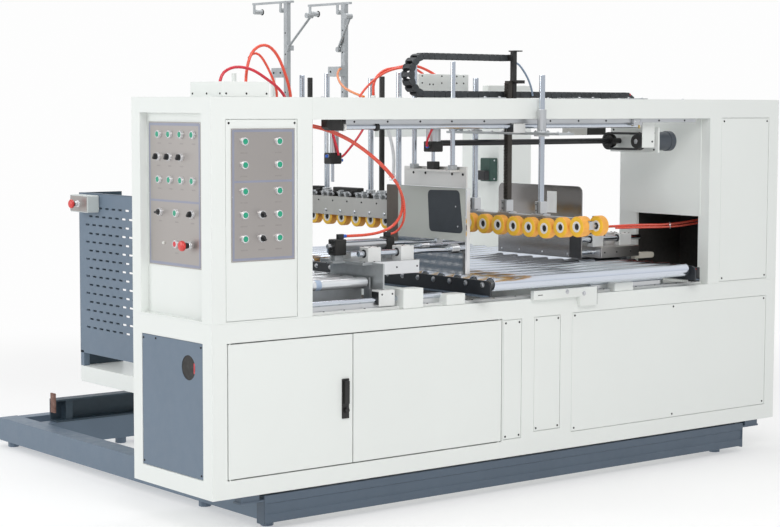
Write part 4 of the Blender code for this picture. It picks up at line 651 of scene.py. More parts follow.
@piece("cover_screws")
def cover_screws(kit):
    y = 0.001
    for x0, x1, z0, z1 in ((1.439, 1.543, 0.074, 0.58), (1.613, 1.766, 0.092, 0.582)):
        kit.screws((x0 + 0.014, x1 - 0.014), y, (z0 + 0.014, z1 - 0.014), FRONT)
    kit.screws((1.85, 2.462, 3.075), y, (RIM_LOW, 0.572), FRONT)
    kit.screws((0.078, 0.375), y, 1.403, FRONT)
    kit.screws((2.78, 3.075), y, (0.682, 1.402), FRONT)
    kit.screws(0.0015, (0.078, 0.49), (0.084, 0.568), LEFT)
    kit.screw((0.0015, 0.4, 0.573), LEFT)
    kit.screws(0.06, (0.03, 0.12, 0.218), 1.512, LEFT, 0.004)
    kit.screws((0.075, 0.165, 0.255), 0.012, 1.512, FRONT, 0.004)


# Press wheels.
PRESS_X = 1.615
PRESS_ROD_Y, RACK_Y = (-0.032, 0.39), 0.179
WHEEL_WIDTH = 0.035


def ripple(i):
    """The ribs of a tyre: every other point round it lies a little lower."""
    return 1.0 if i % 2 else 0.975


def wheel(kit, x, y, z, radius):
    """A ribbed yellow tyre on a white hub, seen from both ends."""
    teeth, width, half = 72, WHEEL_WIDTH, WHEEL_WIDTH / 2
    kit.lathe((x - half, y, z), RIGHT, [(radius - 0.0012, 0.001), (radius, 0.0025),
              (radius, width - 0.0025), (radius - 0.0012, width - 0.001)], "tread", teeth, ripple)
    for face, way in ((0.0, 1), (width, -1)):
        ring = [(0.0222, face + way * 0.0008), (radius - 0.0035, face),
                (radius - 0.0012, face + way * 0.001)]
        kit.lathe((x - half, y, z), RIGHT, ring if way > 0 else ring[::-1], "tyre", teeth, ripple)
    for side in (-1, 1):
        e = (x + side * (half - 0.004), y, z)
        kit.lathe(e, (side, 0, 0), [(0.0226, -0.004), (0.0226, 0.0036), (0.0218, 0.0044),
                  (0.015, 0.0044), (0.0142, 0.0036), (0.014, -0.006), (0.0, -0.006)], "hub", 32)
        # A dark disc in the hub's bore: painted shade.
        kit.lathe(e, (side, 0, 0), [(0.0139, -0.0055), (0.0139, -0.001), (0.0, -0.001)], "dark", 24)
        kit.lathe(e, (side, 0, 0), [(0.005, -0.0015), (0.005, 0.0008), (0.0, 0.0008)], "oxide", 4,
                  spin=0.4)


@piece("press_wheel_row", "press_slide", "yellow_urethane", ("press_wheels",))
def press_row(kit):
    for i in range(8):
        y = -0.32 + i * 0.096
        z = 0.966 + (0.016, 0.009, 0.0)[min(i, 2)]
        for side in (-1, 1):
            wheel(kit, PRESS_X + side * 0.055, y, z, 0.042)
        kit.rod((1.5705, y, z), (1.6595, y, z), 0.007, "bolt", 16)
        kit.box(1.601, 1.629, y - 0.015, y + 0.015, z - 0.014, 1.0027, "alu", 0.002)
    kit.box(1.603, 1.627, -0.334, 0.3825, 0.98, 1.0027, "oxide")


# Press rods: two ground spindles and a square rack in light clamp sockets.
def spindle(kit, x, y, z0, z1, radius=0.0125, look="chrome"):
    """A ground rod with a centre hole in its top."""
    kit.lathe((x, y, z0), UP, [(0, 0), (radius, 0), (radius, z1 - z0 - 0.002), (radius - 0.002, z1 - z0),
              (0.004, z1 - z0), (0.0035, z1 - z0 - 0.003), (0, z1 - z0 - 0.003)], look, 24)


@piece("press_spindles", "press_slide", "ground_steel", ("press_rods",))
def press_rods(kit):
    kit.box(PRESS_X - 0.016, PRESS_X + 0.016, -0.222, 0.45, 1.003, 1.013, "galv")
    for y in (PRESS_ROD_Y[0], RACK_Y, PRESS_ROD_Y[1]):
        kit.box(PRESS_X - 0.022, PRESS_X + 0.022, y - 0.036, y + 0.036, 1.0125, 1.02, "alu")
        kit.box(PRESS_X - 0.019, PRESS_X + 0.019, y - 0.019, y + 0.019, 1.0195, 1.071, "alu", 0.002)
        # A dark strip for the clamp's slit: painted shade.
        kit.box(PRESS_X - 0.0205, PRESS_X - 0.018, y - 0.001, y + 0.001, 1.022, 1.069, "dark", 0.0)
        kit.screws(PRESS_X - 0.019, y + 0.01, (1.034, 1.058), LEFT, 0.0035, 0.0016)
        for dy in (-0.028, 0.028):
            kit.screw((PRESS_X - 0.012, y + dy, 1.02), UP, 0.004, 0.0022)
    for y, top in zip(PRESS_ROD_Y, (1.598, 1.59)):
        spindle(kit, PRESS_X, y, 1.068, top)
    y, half = RACK_Y, 0.013
    kit.box(PRESS_X - half + 0.004, PRESS_X + half, y - half, y + half, 1.069, 1.575, "rack", 0.0008)
    pitch = 0.0063
    count = int((1.572 - 1.075) / pitch)
    for i in range(count):
        z = 1.075 + i * pitch
        outline = [(PRESS_X - half + 0.0045, z), (PRESS_X - half, z + pitch * 0.26),
                   (PRESS_X - half, z + pitch * 0.62), (PRESS_X - half + 0.0045, z + pitch * 0.88)]
        kit.prism(outline, "Y", y - half + 0.0003, y + half - 0.0003, "rack")


# Carriage under the beams.
@piece("press_carriage_block", slot="brushed_steel", replaces=("press_carriage",))
def carriage(kit):
    kit.box(1.575, 1.66, -0.18, 0.54, 1.349, 1.359, "galv")
    kit.box(1.585, 1.645, 0.507, 0.535, 1.357, BEAM_UNDER, "galv")
    kit.box(1.512, 1.577, 0.026, 0.076, 1.3572, 1.3965, "block", 0.002)
    kit.box(1.5105, 1.5125, 0.03, 0.072, 1.36, 1.393, "black", 0.0005)
    kit.screws((1.524, 1.566), (0.034, 0.068), 1.3965, UP, 0.0035, 0.002)
    kit.lathe((PRESS_X, PRESS_ROD_Y[0], 1.343), UP, [(0.0135, 0), (0.031, 0), (0.032, 0.001), (0.032, 0.021),
              (0.031, 0.022), (0.019, 0.022), (0.019, 0.111), (0.018, 0.112), (0.0135, 0.112)], "alu", 32)
    kit.lathe((PRESS_X, PRESS_ROD_Y[1], 1.357), UP, [(0.0135, 0), (0.03, 0), (0.03, 0.008), (0.019, 0.009),
              (0.019, 0.042), (0.018, 0.043), (0.0135, 0.043)], "alu", 32)
    for x, y in arc(PRESS_X, PRESS_ROD_Y[0], 0.0255, *FOUR_ROUND):
        kit.screw((x, y, 1.365), UP, 0.0032, 0.0025)
    kit.hexbolts((1.586, 1.649), (-0.16, 0.11, 0.25, 0.47), 1.359, UP, 0.0055, 0.005)


# Round rail under the front beam.
RAIL_Y, RAIL_Z = 0.05, 1.385


@piece("top_rail", slot="ground_steel", replaces=("top_linear_rail",))
def top_rail(kit):
    kit.box(0.639, 2.62, 0.028, 0.072, 1.3977, BEAM_UNDER, "alu", 0.0008)
    kit.box(0.645, 2.27, RAIL_Y - 0.004, RAIL_Y + 0.004, RAIL_Z, 1.398, "alu", 0.0004)
    kit.rod((0.624, RAIL_Y, RAIL_Z), (2.28, RAIL_Y, RAIL_Z), 0.01, "chrome", 24)
    outline = [(0.549, BEAM_UNDER), (0.549, 1.386), (0.566, 1.373), (0.629, 1.371), (0.629, BEAM_UNDER)]
    kit.prism(outline, "Y", 0.032, 0.068, "oxide")
    kit.screws((0.679, 0.844, 1.01, 1.175, 1.349, 1.72, 1.885, 2.05, 2.215, 2.38, 2.545), 0.028, 1.406,
               FRONT, 0.0042, 0.0024)
    kit.collar((0.797, RAIL_Y, RAIL_Z), RIGHT, 0.0102, 0.0165, 0.014, "oxide", 24)
    kit.collar((0.637, RAIL_Y, RAIL_Z), RIGHT, 0.0102, 0.016, 0.011, "hub", 24)
    kit.box(2.317, 2.394, 0.0665, 0.0715, 1.285, 1.398, "white")
    kit.screw((2.378, 0.0665, 1.312), FRONT, 0.0045, 0.0024)
    kit.box(2.207, 2.258, 0.012, 0.0282, 1.387, 1.414, "alu", 0.002)
    kit.rod((2.246, 0.02, 1.372), (2.246, 0.02, 1.39), 0.005, "brass", 16)
    kit.hexbolts((2.219, 2.246), 0.012, 1.402, FRONT, 0.0045, 0.004)


# Energy chain.
CHAIN_Y, CHAIN_PITCH = (0.206, 0.262), 0.03
CHAIN_LOW, CHAIN_IN, CHAIN_OUT = 1.503, 0.064, 0.092
CHAIN_BEND_X, CHAIN_END_X, CHAIN_TOP_X = 1.19, 2.345, 1.655


def chain_place(s):
    """Centre and direction at a length along the chain, from its fixed end."""
    mid, height = (CHAIN_IN + CHAIN_OUT) / 2, CHAIN_OUT - CHAIN_IN
    cz = CHAIN_LOW + CHAIN_OUT
    bottom = CHAIN_END_X - CHAIN_BEND_X
    bend = math.pi * mid
    if s < bottom:
        return Vector((CHAIN_END_X - s, 0, CHAIN_LOW + height / 2)), Vector(LEFT)
    if s < bottom + bend:
        a = (s - bottom) / mid
        place = Vector((CHAIN_BEND_X - mid * math.sin(a), 0, cz - mid * math.cos(a)))
        return place, Vector((-math.cos(a), 0, math.sin(a)))
    return Vector((CHAIN_BEND_X + (s - bottom - bend), 0, cz + mid)), Vector(RIGHT)


@piece("chain_links", slot="black_plastic", replaces=("energy_chain",))
def chain_links(kit):
    y0, y1 = CHAIN_Y
    height = CHAIN_OUT - CHAIN_IN
    mid = (CHAIN_IN + CHAIN_OUT) / 2
    total = (CHAIN_END_X - CHAIN_BEND_X) + math.pi * mid + (CHAIN_TOP_X - CHAIN_BEND_X)
    count = round(total / CHAIN_PITCH)
    pitch = total / count
    for i in range(count):
        c, along = chain_place((i + 0.5) * pitch)
        up = Vector((-along.z, 0, along.x))
        h = height / 2 - 0.0004
        reach, round_r = pitch * 0.56, height * 0.42
        outline = []
        for way, first in ((1, -90), (-1, 90)):
            for k in range(7):
                t = math.radians(first + 30 * k)
                outline.append((way * (reach - round_r) + round_r * math.cos(t), h * math.sin(t)))
        shift = 0.0014 if i % 2 else 0.0
        for ya, yb in ((y0 + shift, y0 + 0.008 + shift), (y1 - 0.008 - shift, y1 - shift)):
            points, n = [], len(outline)
            for yy in (ya, yb):
                for u, v in outline:
                    p = c + along * u + up * v
                    points.append((p.x, yy, p.z))
            faces = [list(range(n)), [n + k for k in range(n)][::-1]]
            faces += [[k, n + k, n + (k + 1) % n, (k + 1) % n] for k in range(n)]
            kit.add(points, faces, "chain")
        for side in (-1, 1):
            points = []
            for yy in (y0 + 0.004, y1 - 0.004):
                for u, v in ((-0.009, side * (h - 0.004)), (0.009, side * (h - 0.004)),
                             (0.009, side * h), (-0.009, side * h)):
                    p = c + along * u + up * v
                    points.append((p.x, yy, p.z))
            kit.add(points, BLOCK_FACES if side > 0 else [f[::-1] for f in BLOCK_FACES], "chain")
    for x in (1.36, 1.9, 2.2):
        kit.box(x, x + 0.12, 0.04, 0.216, BEAM_TOP + 0.0003, 1.504, "galv", 0.0008)
        for dx in (0.02, 0.1):
            kit.hexbolt((x + dx, 0.06, 1.504), UP, 0.005, 0.004)
    wedge = [(2.345, 1.503), (2.405, 1.503), (2.405, 1.51), (2.372, 1.53), (2.345, 1.531)]
    kit.prism(wedge, "Y", 0.208, 0.26, "chain")
    kit.box(1.64, 1.662, 0.21, 0.258, 1.66, 1.686, "chain", 0.003)
    kit.box(2.376, 2.384, 0.2075, 0.212, 1.516, 1.526, "red")


# Drive at the right of the portal.
@piece("drive_belt", slot="black_plastic", replaces=("drive_shaft",))
def drive(kit):
    y0, y1, z, r = 0.13, 0.3, 1.312, 0.04
    x0, x1 = 2.335, 2.365
    kit.rod((1.288, y1, z), (2.41, y1, z), 0.0125, "black", 24)
    outline, inner = [], []
    teeth, belt = 16, 0.01
    for centre, first in ((y1, -90), (y0, 90)):
        outline += arc(centre, z, r, first, first + 180, teeth)
        inner += arc(centre, z, r - belt, first, first + 180, teeth)
    n = len(outline)
    points = [(x, *p) for x in (x0, x1) for p in outline] + [(x, *p) for x in (x0, x1) for p in inner]
    faces = []
    for k in range(n):
        j = (k + 1) % n
        faces += [[k, j, n + j, n + k], [2 * n + j, 2 * n + k, 3 * n + k, 3 * n + j],
                  [j, k, 2 * n + k, 2 * n + j], [n + k, n + j, 3 * n + j, 3 * n + k]]
    kit.add(points, [f[::-1] for f in faces], "black")
    for y in (y0, y1):
        kit.lathe((x0 + 0.002, y, z), RIGHT, [(0.0, 0.003), (0.012, 0.003), (0.012, 0.0), (0.0285, 0.0),
                  (0.0298, 0.001), (0.0298, 0.025), (0.0285, 0.026), (0.012, 0.026), (0.012, 0.023),
                  (0.0, 0.023)], "oxide", 32)
        kit.hexbolt((x0 + 0.005, y, z), LEFT)
    motor = [(0, 0.0), (0.038, 0.0), (0.045, 0.004), (0.045, 0.03), (0.042, 0.032), (0.042, 0.108),
             (0.045, 0.11), (0.045, 0.138), (0.04, 0.142), (0, 0.142)]
    kit.lathe((2.4203, y0, z), RIGHT, [(r, h * 0.98) for r, h in motor], "grey", 40)
    for k in range(6):
        t = math.radians(30 + 60 * k)
        kit.screw((x0 + 0.002, y1 + 0.024 * math.cos(t), z + 0.02 * math.sin(t)), LEFT, 0.0028, 0.0014)


@piece("drive_plate_sheet", slot="white_paint", replaces=("drive_plate",))
def drive_plate(kit):
    """The white plate that carries the motor and the far pulley's shaft."""
    kit.box(2.41, 2.42, 0.06, 0.36, 1.262, 1.375, "white")
    kit.box(2.41, 2.42, 0.11, 0.3, 1.374, 1.43, "white")
    for y, z in ((0.085, 1.275), (0.085, 1.349), (0.175, 1.275), (0.175, 1.349), (0.34, 1.275),
                 (0.34, 1.362)):
        kit.screw((2.41, y, z), LEFT, 0.0045, 0.0024)


# Flap plate and the cylinder that moves it.
FLAP_X = 1.262
LIFT_X, LIFT_Y, GUIDE_Y = 1.242, 0.226, (0.1015, 0.3505)


@piece("flap_plate", "flap_press_slide", "brushed_steel", ("flap_press_plate",))
def flap(kit):
    outline = [(0.037, 1.133), (0.443, 1.133), (0.443, 1.214), (0.037, 1.22)]
    kit.prism(outline, "X", FLAP_X, FLAP_X + 0.006, "brushed_pale")
    kit.screws(FLAP_X, (0.38, 0.301, 0.128, 0.059), 1.188, LEFT, 0.0055, 0.003)
    for y in GUIDE_Y:
        spindle(kit, LIFT_X, y, 1.2055, 1.65, 0.01)
        kit.box(1.227, 1.257, y - 0.014, y + 0.014, 1.2055, 1.226, "galv", 0.002)
    kit.box(1.212, 1.262, 0.081, 0.371, 1.198, 1.206, "brushed_pale", 0.0006)
    kit.box(1.224, 1.26, 0.204, 0.248, 1.2055, 1.238, "oxide", 0.002)
    kit.rod((LIFT_X, LIFT_Y, 1.23), (LIFT_X, LIFT_Y, 1.3775), 0.0075, "chrome", 16)


def fitting(kit, place, axis):
    """Push-in fitting: a nickel hexagon and a blue release ring."""
    length, radius = 0.014, 0.0075
    kit.lathe(place, axis, [(0, -0.001), (radius, -0.001), (radius, length * 0.45), (0, length * 0.45)],
              "bolt", 6)
    kit.lathe(place, axis, [(0, length * 0.4), (radius * 0.86, length * 0.4),
              (radius * 0.9, length * 0.95), (radius * 0.75, length), (0, length)], "ring_blue", 16)


@piece("lift_cylinder_body", slot="brushed_steel", replaces=("lift_cylinder",))
def lift(kit):
    x, y = LIFT_X, LIFT_Y
    kit.box(x - 0.03, x + 0.03, y - 0.03, y + 0.03, 1.278, 1.322, "oxide", 0.004)
    kit.disc((x, y, 1.318), UP, 0.027, 0.086, "alu", 32)
    for px, py in arc(x, y, 0.0275, *FOUR_ROUND):
        kit.rod((px, py, 1.32), (px, py, 1.401), 0.003, "bolt", 8)
    kit.box(x - 0.032, x + 0.032, y - 0.1445, y + 0.1445, 1.3997, 1.4247, "oxide", 0.002)
    for dy in (-0.1245, 0.1245):
        kit.lathe((x, y + dy, 1.384), UP, [(0.0105, 0), (0.018, 0), (0.019, 0.001), (0.019, 0.0165),
                  (0.0105, 0.0165)], "alu", 24)
    fitting(kit, (x - 0.03, y - 0.008, 1.3), LEFT)
    fitting(kit, (x - 0.032, y - 0.03, 1.412), LEFT)


# Left side plate and the carriage that pushes it.
LEFT_RODS = (0.15, 0.35)
LEFT_ROD_Z, LEFT_PISTON = 0.877, (0.25, 0.905)


def rounded_sheet(kit, axis_x, thick, y0, y1, z0, z1, look, radius=0.008):
    outline = [(y0, z0), (y1, z0)]
    for cy, first in ((y1 - radius, 0), (y0 + radius, 90)):
        outline += arc(cy, z1 - radius, radius, first, first + 90, 4)
    kit.prism(outline, "X", axis_x, axis_x + thick, look)


@piece("left_side_plate", "left_plate_slide", "ground_steel", ("left_plate",))
def left_plate(kit):
    x = 1.29
    rounded_sheet(kit, x + 0.0006, 0.0054, 0.072, 0.6, 0.772, 1.13, "mirror")
    # The pale face and the brown strip paint the plate's reflections as colour: painted reflection.
    kit.prism([(0.0735, 0.91), (0.52, 0.91), (0.52, 1.1285), (0.0735, 1.1285)], "X", x, x + 0.0008,
              "plate_face")
    kit.box(x, x + 0.024, 0.0722, 0.075, 0.7735, 1.126, "sheet_bright", 0.0005)
    kit.prism([(0.52, 0.7735), (0.5985, 0.7735), (0.5985, 1.128), (0.52, 1.128)], "X", x, x + 0.0008,
              "plate_reflection_brown")
    pad = []
    for cy, cz, first in ((0.298, 1.096, 0), (0.131, 1.1, 90), (0.112, 0.962, 180), (0.288, 0.962, 270)):
        pad += arc(cy, cz, 0.02, first, first + 90, 4)
    kit.prism(pad, "X", x - 0.001, x + 0.0004, "pad")
    for y, z in ((0.136, 1.052), (0.122, 0.97)):
        kit.screw((x - 0.001, y, z), LEFT, 0.0035, 0.0012, "bolt")
    for y in LEFT_RODS:
        kit.rod((0.792, y, LEFT_ROD_Z), (x + 0.0008, y, LEFT_ROD_Z), 0.012, "chrome", 24)
        kit.lathe((x - 0.02, y, LEFT_ROD_Z), RIGHT, [(0.012, 0), (0.019, 0), (0.02, 0.001),
                  (0.02, 0.0205), (0.012, 0.0205)], "alu", 24)
    y, z = LEFT_PISTON
    kit.rod((1.001, y, z), (x + 0.0008, y, z), 0.008, "chrome", 20)
    kit.disc((x - 0.016, y, z), RIGHT, 0.013, 0.0165, "bolt", 6)


def bearing_block(kit, x0, x1, y, half, z0, z1, rod_z):
    """White bearing housing with seals and cap screws."""
    kit.box(x0, x1, y - half, y + half, z0, z1, "block", 0.002)
    for x, way in ((x0, -1), (x1, 1)):
        kit.lathe((x - way * 0.0002, y, rod_z), (way, 0, 0), [(0.0122, 0), (0.0175, 0), (0.017, 0.0012),
                  (0.0122, 0.0012)], "black", 24)
    for x in (x0 + 0.012, x1 - 0.012):
        for dy in (-half + 0.008, half - 0.008):
            kit.screw((x, y + dy, z1), UP, 0.0038, 0.002)


@piece("left_pusher_carriage", slot="brushed_steel", replaces=("left_pusher",))
def left_pusher(kit):
    y, z = LEFT_PISTON
    kit.box(0.785, 1.07, 0.11, 0.4, 0.833, 0.845, "galv")
    kit.box(0.838, 1.067, 0.1, 0.1105, 0.792, 0.845, "sheet_bright", 0.0008)
    kit.box(0.832, 0.84, 0.04, 0.392, 0.7393, 0.843, "galv", 0.0008)
    kit.box(1.0, 1.04, 0.345, 0.385, SILL_TOP, 0.841, "galv")
    kit.box(0.725, 0.79, y - 0.02, y + 0.02, 0.835, 0.845, "galv")
    for rod_y in LEFT_RODS:
        for x0, x1 in ((0.82, 0.885), (0.988, 1.055)):
            bearing_block(kit, x0, x1, rod_y, 0.03, 0.843, 0.903, LEFT_ROD_Z)
    kit.disc((0.741, y, z), RIGHT, 0.0235, 0.28, "alu", 36)
    for x0, x1 in ((0.735, 0.79), (0.996, 1.038)):
        kit.box(x0, x1, y - 0.026, y + 0.026, 0.868, 0.932, "oxide", 0.003)
        kit.box(x0 + 0.006, x1 - 0.006, y - 0.012, y + 0.012, 0.8445, 0.869, "galv")
    kit.rod((0.712, y, z), (0.736, y, z), 0.01, "bolt", 16)
    for k in range(6):
        kit.box(0.7335, 0.7355, y - 0.022, y + 0.022, 0.872 + 0.01 * k, 0.877 + 0.01 * k, "black", 0.0006)
    for dy in (-0.021, 0.021):
        for dz in (-0.021, 0.021):
            kit.rod((0.79, y + dy, z + dz - 0.003), (0.995, y + dy, z + dz - 0.003), 0.003, "chrome", 10)
    kit.box(0.762, 0.79, y - 0.008, y + 0.008, 0.932, 0.952, "black")
    kit.lathe((0.789, y, 0.943), RIGHT, [(0, 0), (0.0074, 0), (0.0074, 0.008), (0.0068, 0.0085),
              (0.007, 0.0165), (0, 0.0165)], "ring_blue", 20)
    kit.box(1.003, 1.031, y - 0.008, y + 0.008, 0.932, 0.9515, "black")
    kit.screws((0.8, 0.85, 1.06), (0.12, 0.39), 0.845, UP, 0.0042, 0.0024)
    kit.screws((0.85, 0.95, 1.055), 0.1, 0.82, FRONT, 0.0038, 0.002)


# Right side plate and its pusher.
RIGHT_RODS = (0.41, 0.5)
RIGHT_ROD_Z, RIGHT_PISTON = 0.856, (0.455, 0.888)


@piece("right_side_plate", "right_plate_slide", "ground_steel", ("right_plate",))
def right_plate(kit):
    x = 2.25
    rounded_sheet(kit, x, 0.006, 0.38, 0.95, 0.772, 1.103, "mirror_dark", 0.03)
    kit.box(x - 0.004, x + 0.0005, 0.38, 0.455, 0.774, 0.878, "black", 0.002)
    kit.box(x - 0.0006, x + 0.0002, 0.545, 0.61, 0.975, 1.075, "sticker", 0.0002)
    for y in RIGHT_RODS:
        kit.rod((x + 0.002, y, RIGHT_ROD_Z), (2.656, y, RIGHT_ROD_Z), 0.012, "chrome", 24)
        kit.lathe((x + 0.0055, y, RIGHT_ROD_Z), RIGHT, [(0.012, 0), (0.02, 0), (0.02, 0.014),
                  (0.019, 0.015), (0.012, 0.015)], "alu", 24)
    kit.rod((x + 0.002, 0.4, 0.798), (2.48, 0.4, 0.798), 0.01, "chrome", 20)
    y, z = RIGHT_PISTON
    kit.rod((x + 0.002, y, z), (2.4, y, z), 0.0065, "chrome", 16)
    kit.disc((x + 0.0055, y, z), RIGHT, 0.012, 0.01, "bolt", 6)
    kit.screws(x, (0.47, 0.64, 0.8, 0.925), 0.79, LEFT, 0.0038, 0.0016, "bolt")


@piece("right_pusher_carriage", slot="brushed_steel", replaces=("right_pusher",))
def right_pusher(kit):
    y, z = RIGHT_PISTON
    kit.box(2.35, 2.598, 0.35, 0.535, 0.771, 0.823, "housing", 0.002)
    kit.box(2.349, 2.351, 0.362, 0.525, 0.78, 0.816, "brushed")
    for rod_y in RIGHT_RODS:
        for x0, x1 in ((2.335, 2.404), (2.509, 2.586)):
            bearing_block(kit, x0, x1, rod_y, 0.02, 0.8215, 0.877, RIGHT_ROD_Z)
    kit.lathe((2.29, y, z), RIGHT, [(0.0066, 0), (0.0165, 0), (0.0165, 0.138), (0.0066, 0.138)],
              "alu", 32)
    kit.box(2.275, 2.305, y - 0.021, y + 0.021, 0.842, 0.91, "oxide", 0.003)
    kit.box(2.418, 2.45, y - 0.021, y + 0.021, 0.821, 0.929, "oxide", 0.003)
    kit.lathe((2.403, y, 0.9), UP, [(0.004, 0), (0.004, 0.03), (0.0075, 0.032), (0.008, 0.036),
              (0.008, 0.056), (0.007, 0.06), (0, 0.06)], "black", 20)
    kit.lathe((2.4495, y, 0.907), RIGHT, [(0, 0), (0.0074, 0), (0.0074, 0.006), (0.0068, 0.0065),
              (0.007, 0.0125), (0, 0.0125)], "ring_blue", 20)
    beam = [(2.588, 0.754), (2.738, 0.754), (2.747, 0.758), (2.75, 0.7675), (2.747, 0.777),
            (2.738, 0.781), (2.588, 0.781)]
    kit.prism(beam, "Y", 0.4, 0.432, "cream")
    kit.box(2.568, 2.598, 0.4, 0.52, SILL_TOP, 0.773, "galv")
    kit.screws((2.372, 2.45, 2.54), 0.35, 0.797, FRONT, 0.004, 0.0022)


# Parts on the front sill.
@piece("sill_slide", slot="ground_steel", replaces=("sill_shaft",))
def sill(kit):
    y, z = 0.055, 0.7
    kit.box(0.47, 2.675, 0.032, 0.078, SILL_TOP, 0.6703, "block", 0.0008)
    # A dark sheet on the cabinet top inside the portal: painted shade.
    kit.box(0.475, 1.585, 0.0785, 0.555, 0.6602, 0.6609, "dark", 0.0)
    for x0, x1 in ((0.47, 1.145), (1.983, 2.437)):
        kit.rod((x0, y, z), (x1, y, z), 0.011, "chrome", 24)
        kit.box(x0 + 0.01, x1 - 0.01, y - 0.004, y + 0.004, 0.668, 0.692, "alu", 0.0004)
    kit.box(0.806, 0.886, 0.03, 0.082, 0.6743, 0.7383, "block", 0.003)
    for x in (0.8045, 0.8855):
        kit.box(x, x + 0.002, 0.034, 0.078, 0.68, 0.732, "black", 0.0006)
    kit.screws((0.82, 0.872), 0.03, 0.722, FRONT, 0.0038, 0.002)
    for x0, x1, height in ((0.909, 1.011, 0.08), (1.133, 1.232, 0.045), (2.093, 2.207, 0.038)):
        kit.box(x0, x1, 0.004, 0.064, SILL_TOP, SILL_TOP + height, "white", 0.002)
    kit.screws((0.54, 0.64, 0.74, 1.06, 1.3, 1.42, 1.54, 2.06, 2.26, 2.38, 2.52, 2.62), 0.04, 0.6703, UP,
               0.004, 0.0022)


@piece("bracket_bolts")
def bracket_bolts(kit):
    """Bolts and edges on the bracket and on the bed's side channel."""
    for x, z in ((1.7815, 0.681), (1.8806, 0.668)):
        kit.hexbolt((x, -0.022, z), FRONT, 0.007, 0.006)
    # Thin dark strips along edges of the bracket and the channel: painted shade.
    kit.box(1.9585, 1.9605, -0.0222, -0.001, 0.615, 0.6935, "dark", 0.0004)
    kit.box(1.612, 1.64, -0.0224, -0.0215, 0.6735, 0.6765, "dark", 0.0001)


@piece("left_rollers", slot="ground_steel", replaces=("left_roller_bed",))
def left_rollers(kit):
    z = 0.764
    for x0, x1 in ((0.474, 0.481), (0.819, 0.826)):
        kit.box(x0, x1, 0.112, 0.547, 0.736, 0.784, "galv", 0.0008)
    for i in range(5):
        y = 0.135 + i * 0.088
        kit.lathe((0.485, y, z), RIGHT, [(0, 0.001), (0.016, 0.001), (0.016, 0), (0.0195, 0),
                  (0.021, 0.002), (0.021, 0.328), (0.0195, 0.33), (0.016, 0.33), (0.016, 0.329),
                  (0, 0.329)], "roller_white", 32)
        kit.lathe((0.56, y, z), RIGHT, [(0.0208, 0), (0.0212, 0.0005), (0.0212, 0.026),
                  (0.0208, 0.0265)], "ring_pale", 32)
        kit.rod((0.4735, y, z), (0.8265, y, z), 0.0075, "bolt", 12)
    for y in (0.18, 0.477):
        kit.box(0.475, 0.825, y - 0.01, y + 0.01, SILL_TOP, 0.74, "galv")


# Infeed press: a stainless channel with wheels below and spindles above.
INFEED_X = 1.5
INFEED_SPINDLES = ((0.78, 1.618, "chrome"), (0.903, 1.6, "oxide"), (0.984, 1.594, "chrome"),
                   (1.321, 1.62, "chrome"), (1.457, 1.6, "oxide"), (1.522, 1.613, "chrome"))


@piece("infeed_press_row", "infeed_press_slide", "brushed_steel", ("infeed_press",))
def infeed_press(kit):
    x = INFEED_X
    for x0, x1 in ((x - 0.068, x - 0.064), (x + 0.064, x + 0.068)):
        kit.prism([(x0, 0.965), (x1, 0.965), (x1, 1.05), (x0, 1.05)], "Y", 0.64, 1.56, "brushed")
    kit.box(x - 0.0641, x + 0.0641, 0.64, 1.56, 1.046, 1.05, "brushed", 0.0004)
    for i in range(8):
        y = 0.69 + 0.11 * i
        for dx in (-0.043, 0.043):
            wheel(kit, x + dx, y, 0.955, 0.038)
        kit.rod((x - 0.064, y, 0.969), (x + 0.064, y, 0.969), 0.006, "bolt", 12)
        for way in (-1, 1):
            kit.hexbolt((x + way * 0.068, y, 0.984), (way, 0, 0), 0.006, 0.005)
            kit.screw((x + way * 0.068, y + 0.055, 1.03), (way, 0, 0), 0.004, 0.0022)
    kit.rod((x - 0.045, 0.65, 1.066), (x - 0.045, 1.55, 1.066), 0.0055, "bolt", 12)
    for i in range(21):
        y = 0.662 + 0.044 * i
        kit.box(x - 0.06, x - 0.036, y - 0.007, y + 0.007, 1.0495, 1.073 + 0.006 * (i % 2),
                "oxide" if i % 3 == 0 else "galv", 0.0015)
        kit.hexbolt((x - 0.06, y, 1.0615), LEFT, 0.0042, 0.004)
    for y0, y1 in ((0.7, 0.745), (1.06, 1.25), (1.352, 1.42)):
        kit.box(x - 0.02, x + 0.02, y0, y1, 1.0495, 1.09, "oxide", 0.003)
    for y, top, look in INFEED_SPINDLES:
        kit.lathe((x, y, 1.048), UP, [(0.0126, 0), (0.022, 0), (0.022, 0.036), (0.021, 0.037),
                  (0.0126, 0.037)], "alu", 28)
        spindle(kit, x, y, 1.05, top, 0.0125, look)


# Tape heads: screws on the posts and black faces on the guide rolls.
TAPE_X = 1.425


@piece("tape_head_screws")
def tape_details(kit):
    for y, top, reach in ((1.085, 1.93, 0.279), (1.538, 1.955, 0.287)):
        for z in (1.46, 1.52, 1.7, 1.8):
            kit.screw((TAPE_X - 0.011, y, z + 0.01), LEFT, 0.0036, 0.002)
        for dy in (-0.034, 0.034):
            kit.hexbolt((TAPE_X, y + dy, 1.4985), UP, 0.0055, 0.005)
        kit.screw((TAPE_X - 0.05, y - 0.015, 1.622), LEFT, 0.005, 0.003)
        kit.screw((TAPE_X - 0.05, y + 0.04, 1.622), LEFT, 0.005, 0.003)
        for dy in (reach - 0.015, 0.05):
            kit.lathe((TAPE_X + 0.0445, y + dy, top - 0.036), RIGHT,
                      [(0.0118, -0.002), (0.015, -0.002), (0.015, 0.0), (0.014, 0.0008), (0, 0.0008)],
                      "black", 24)


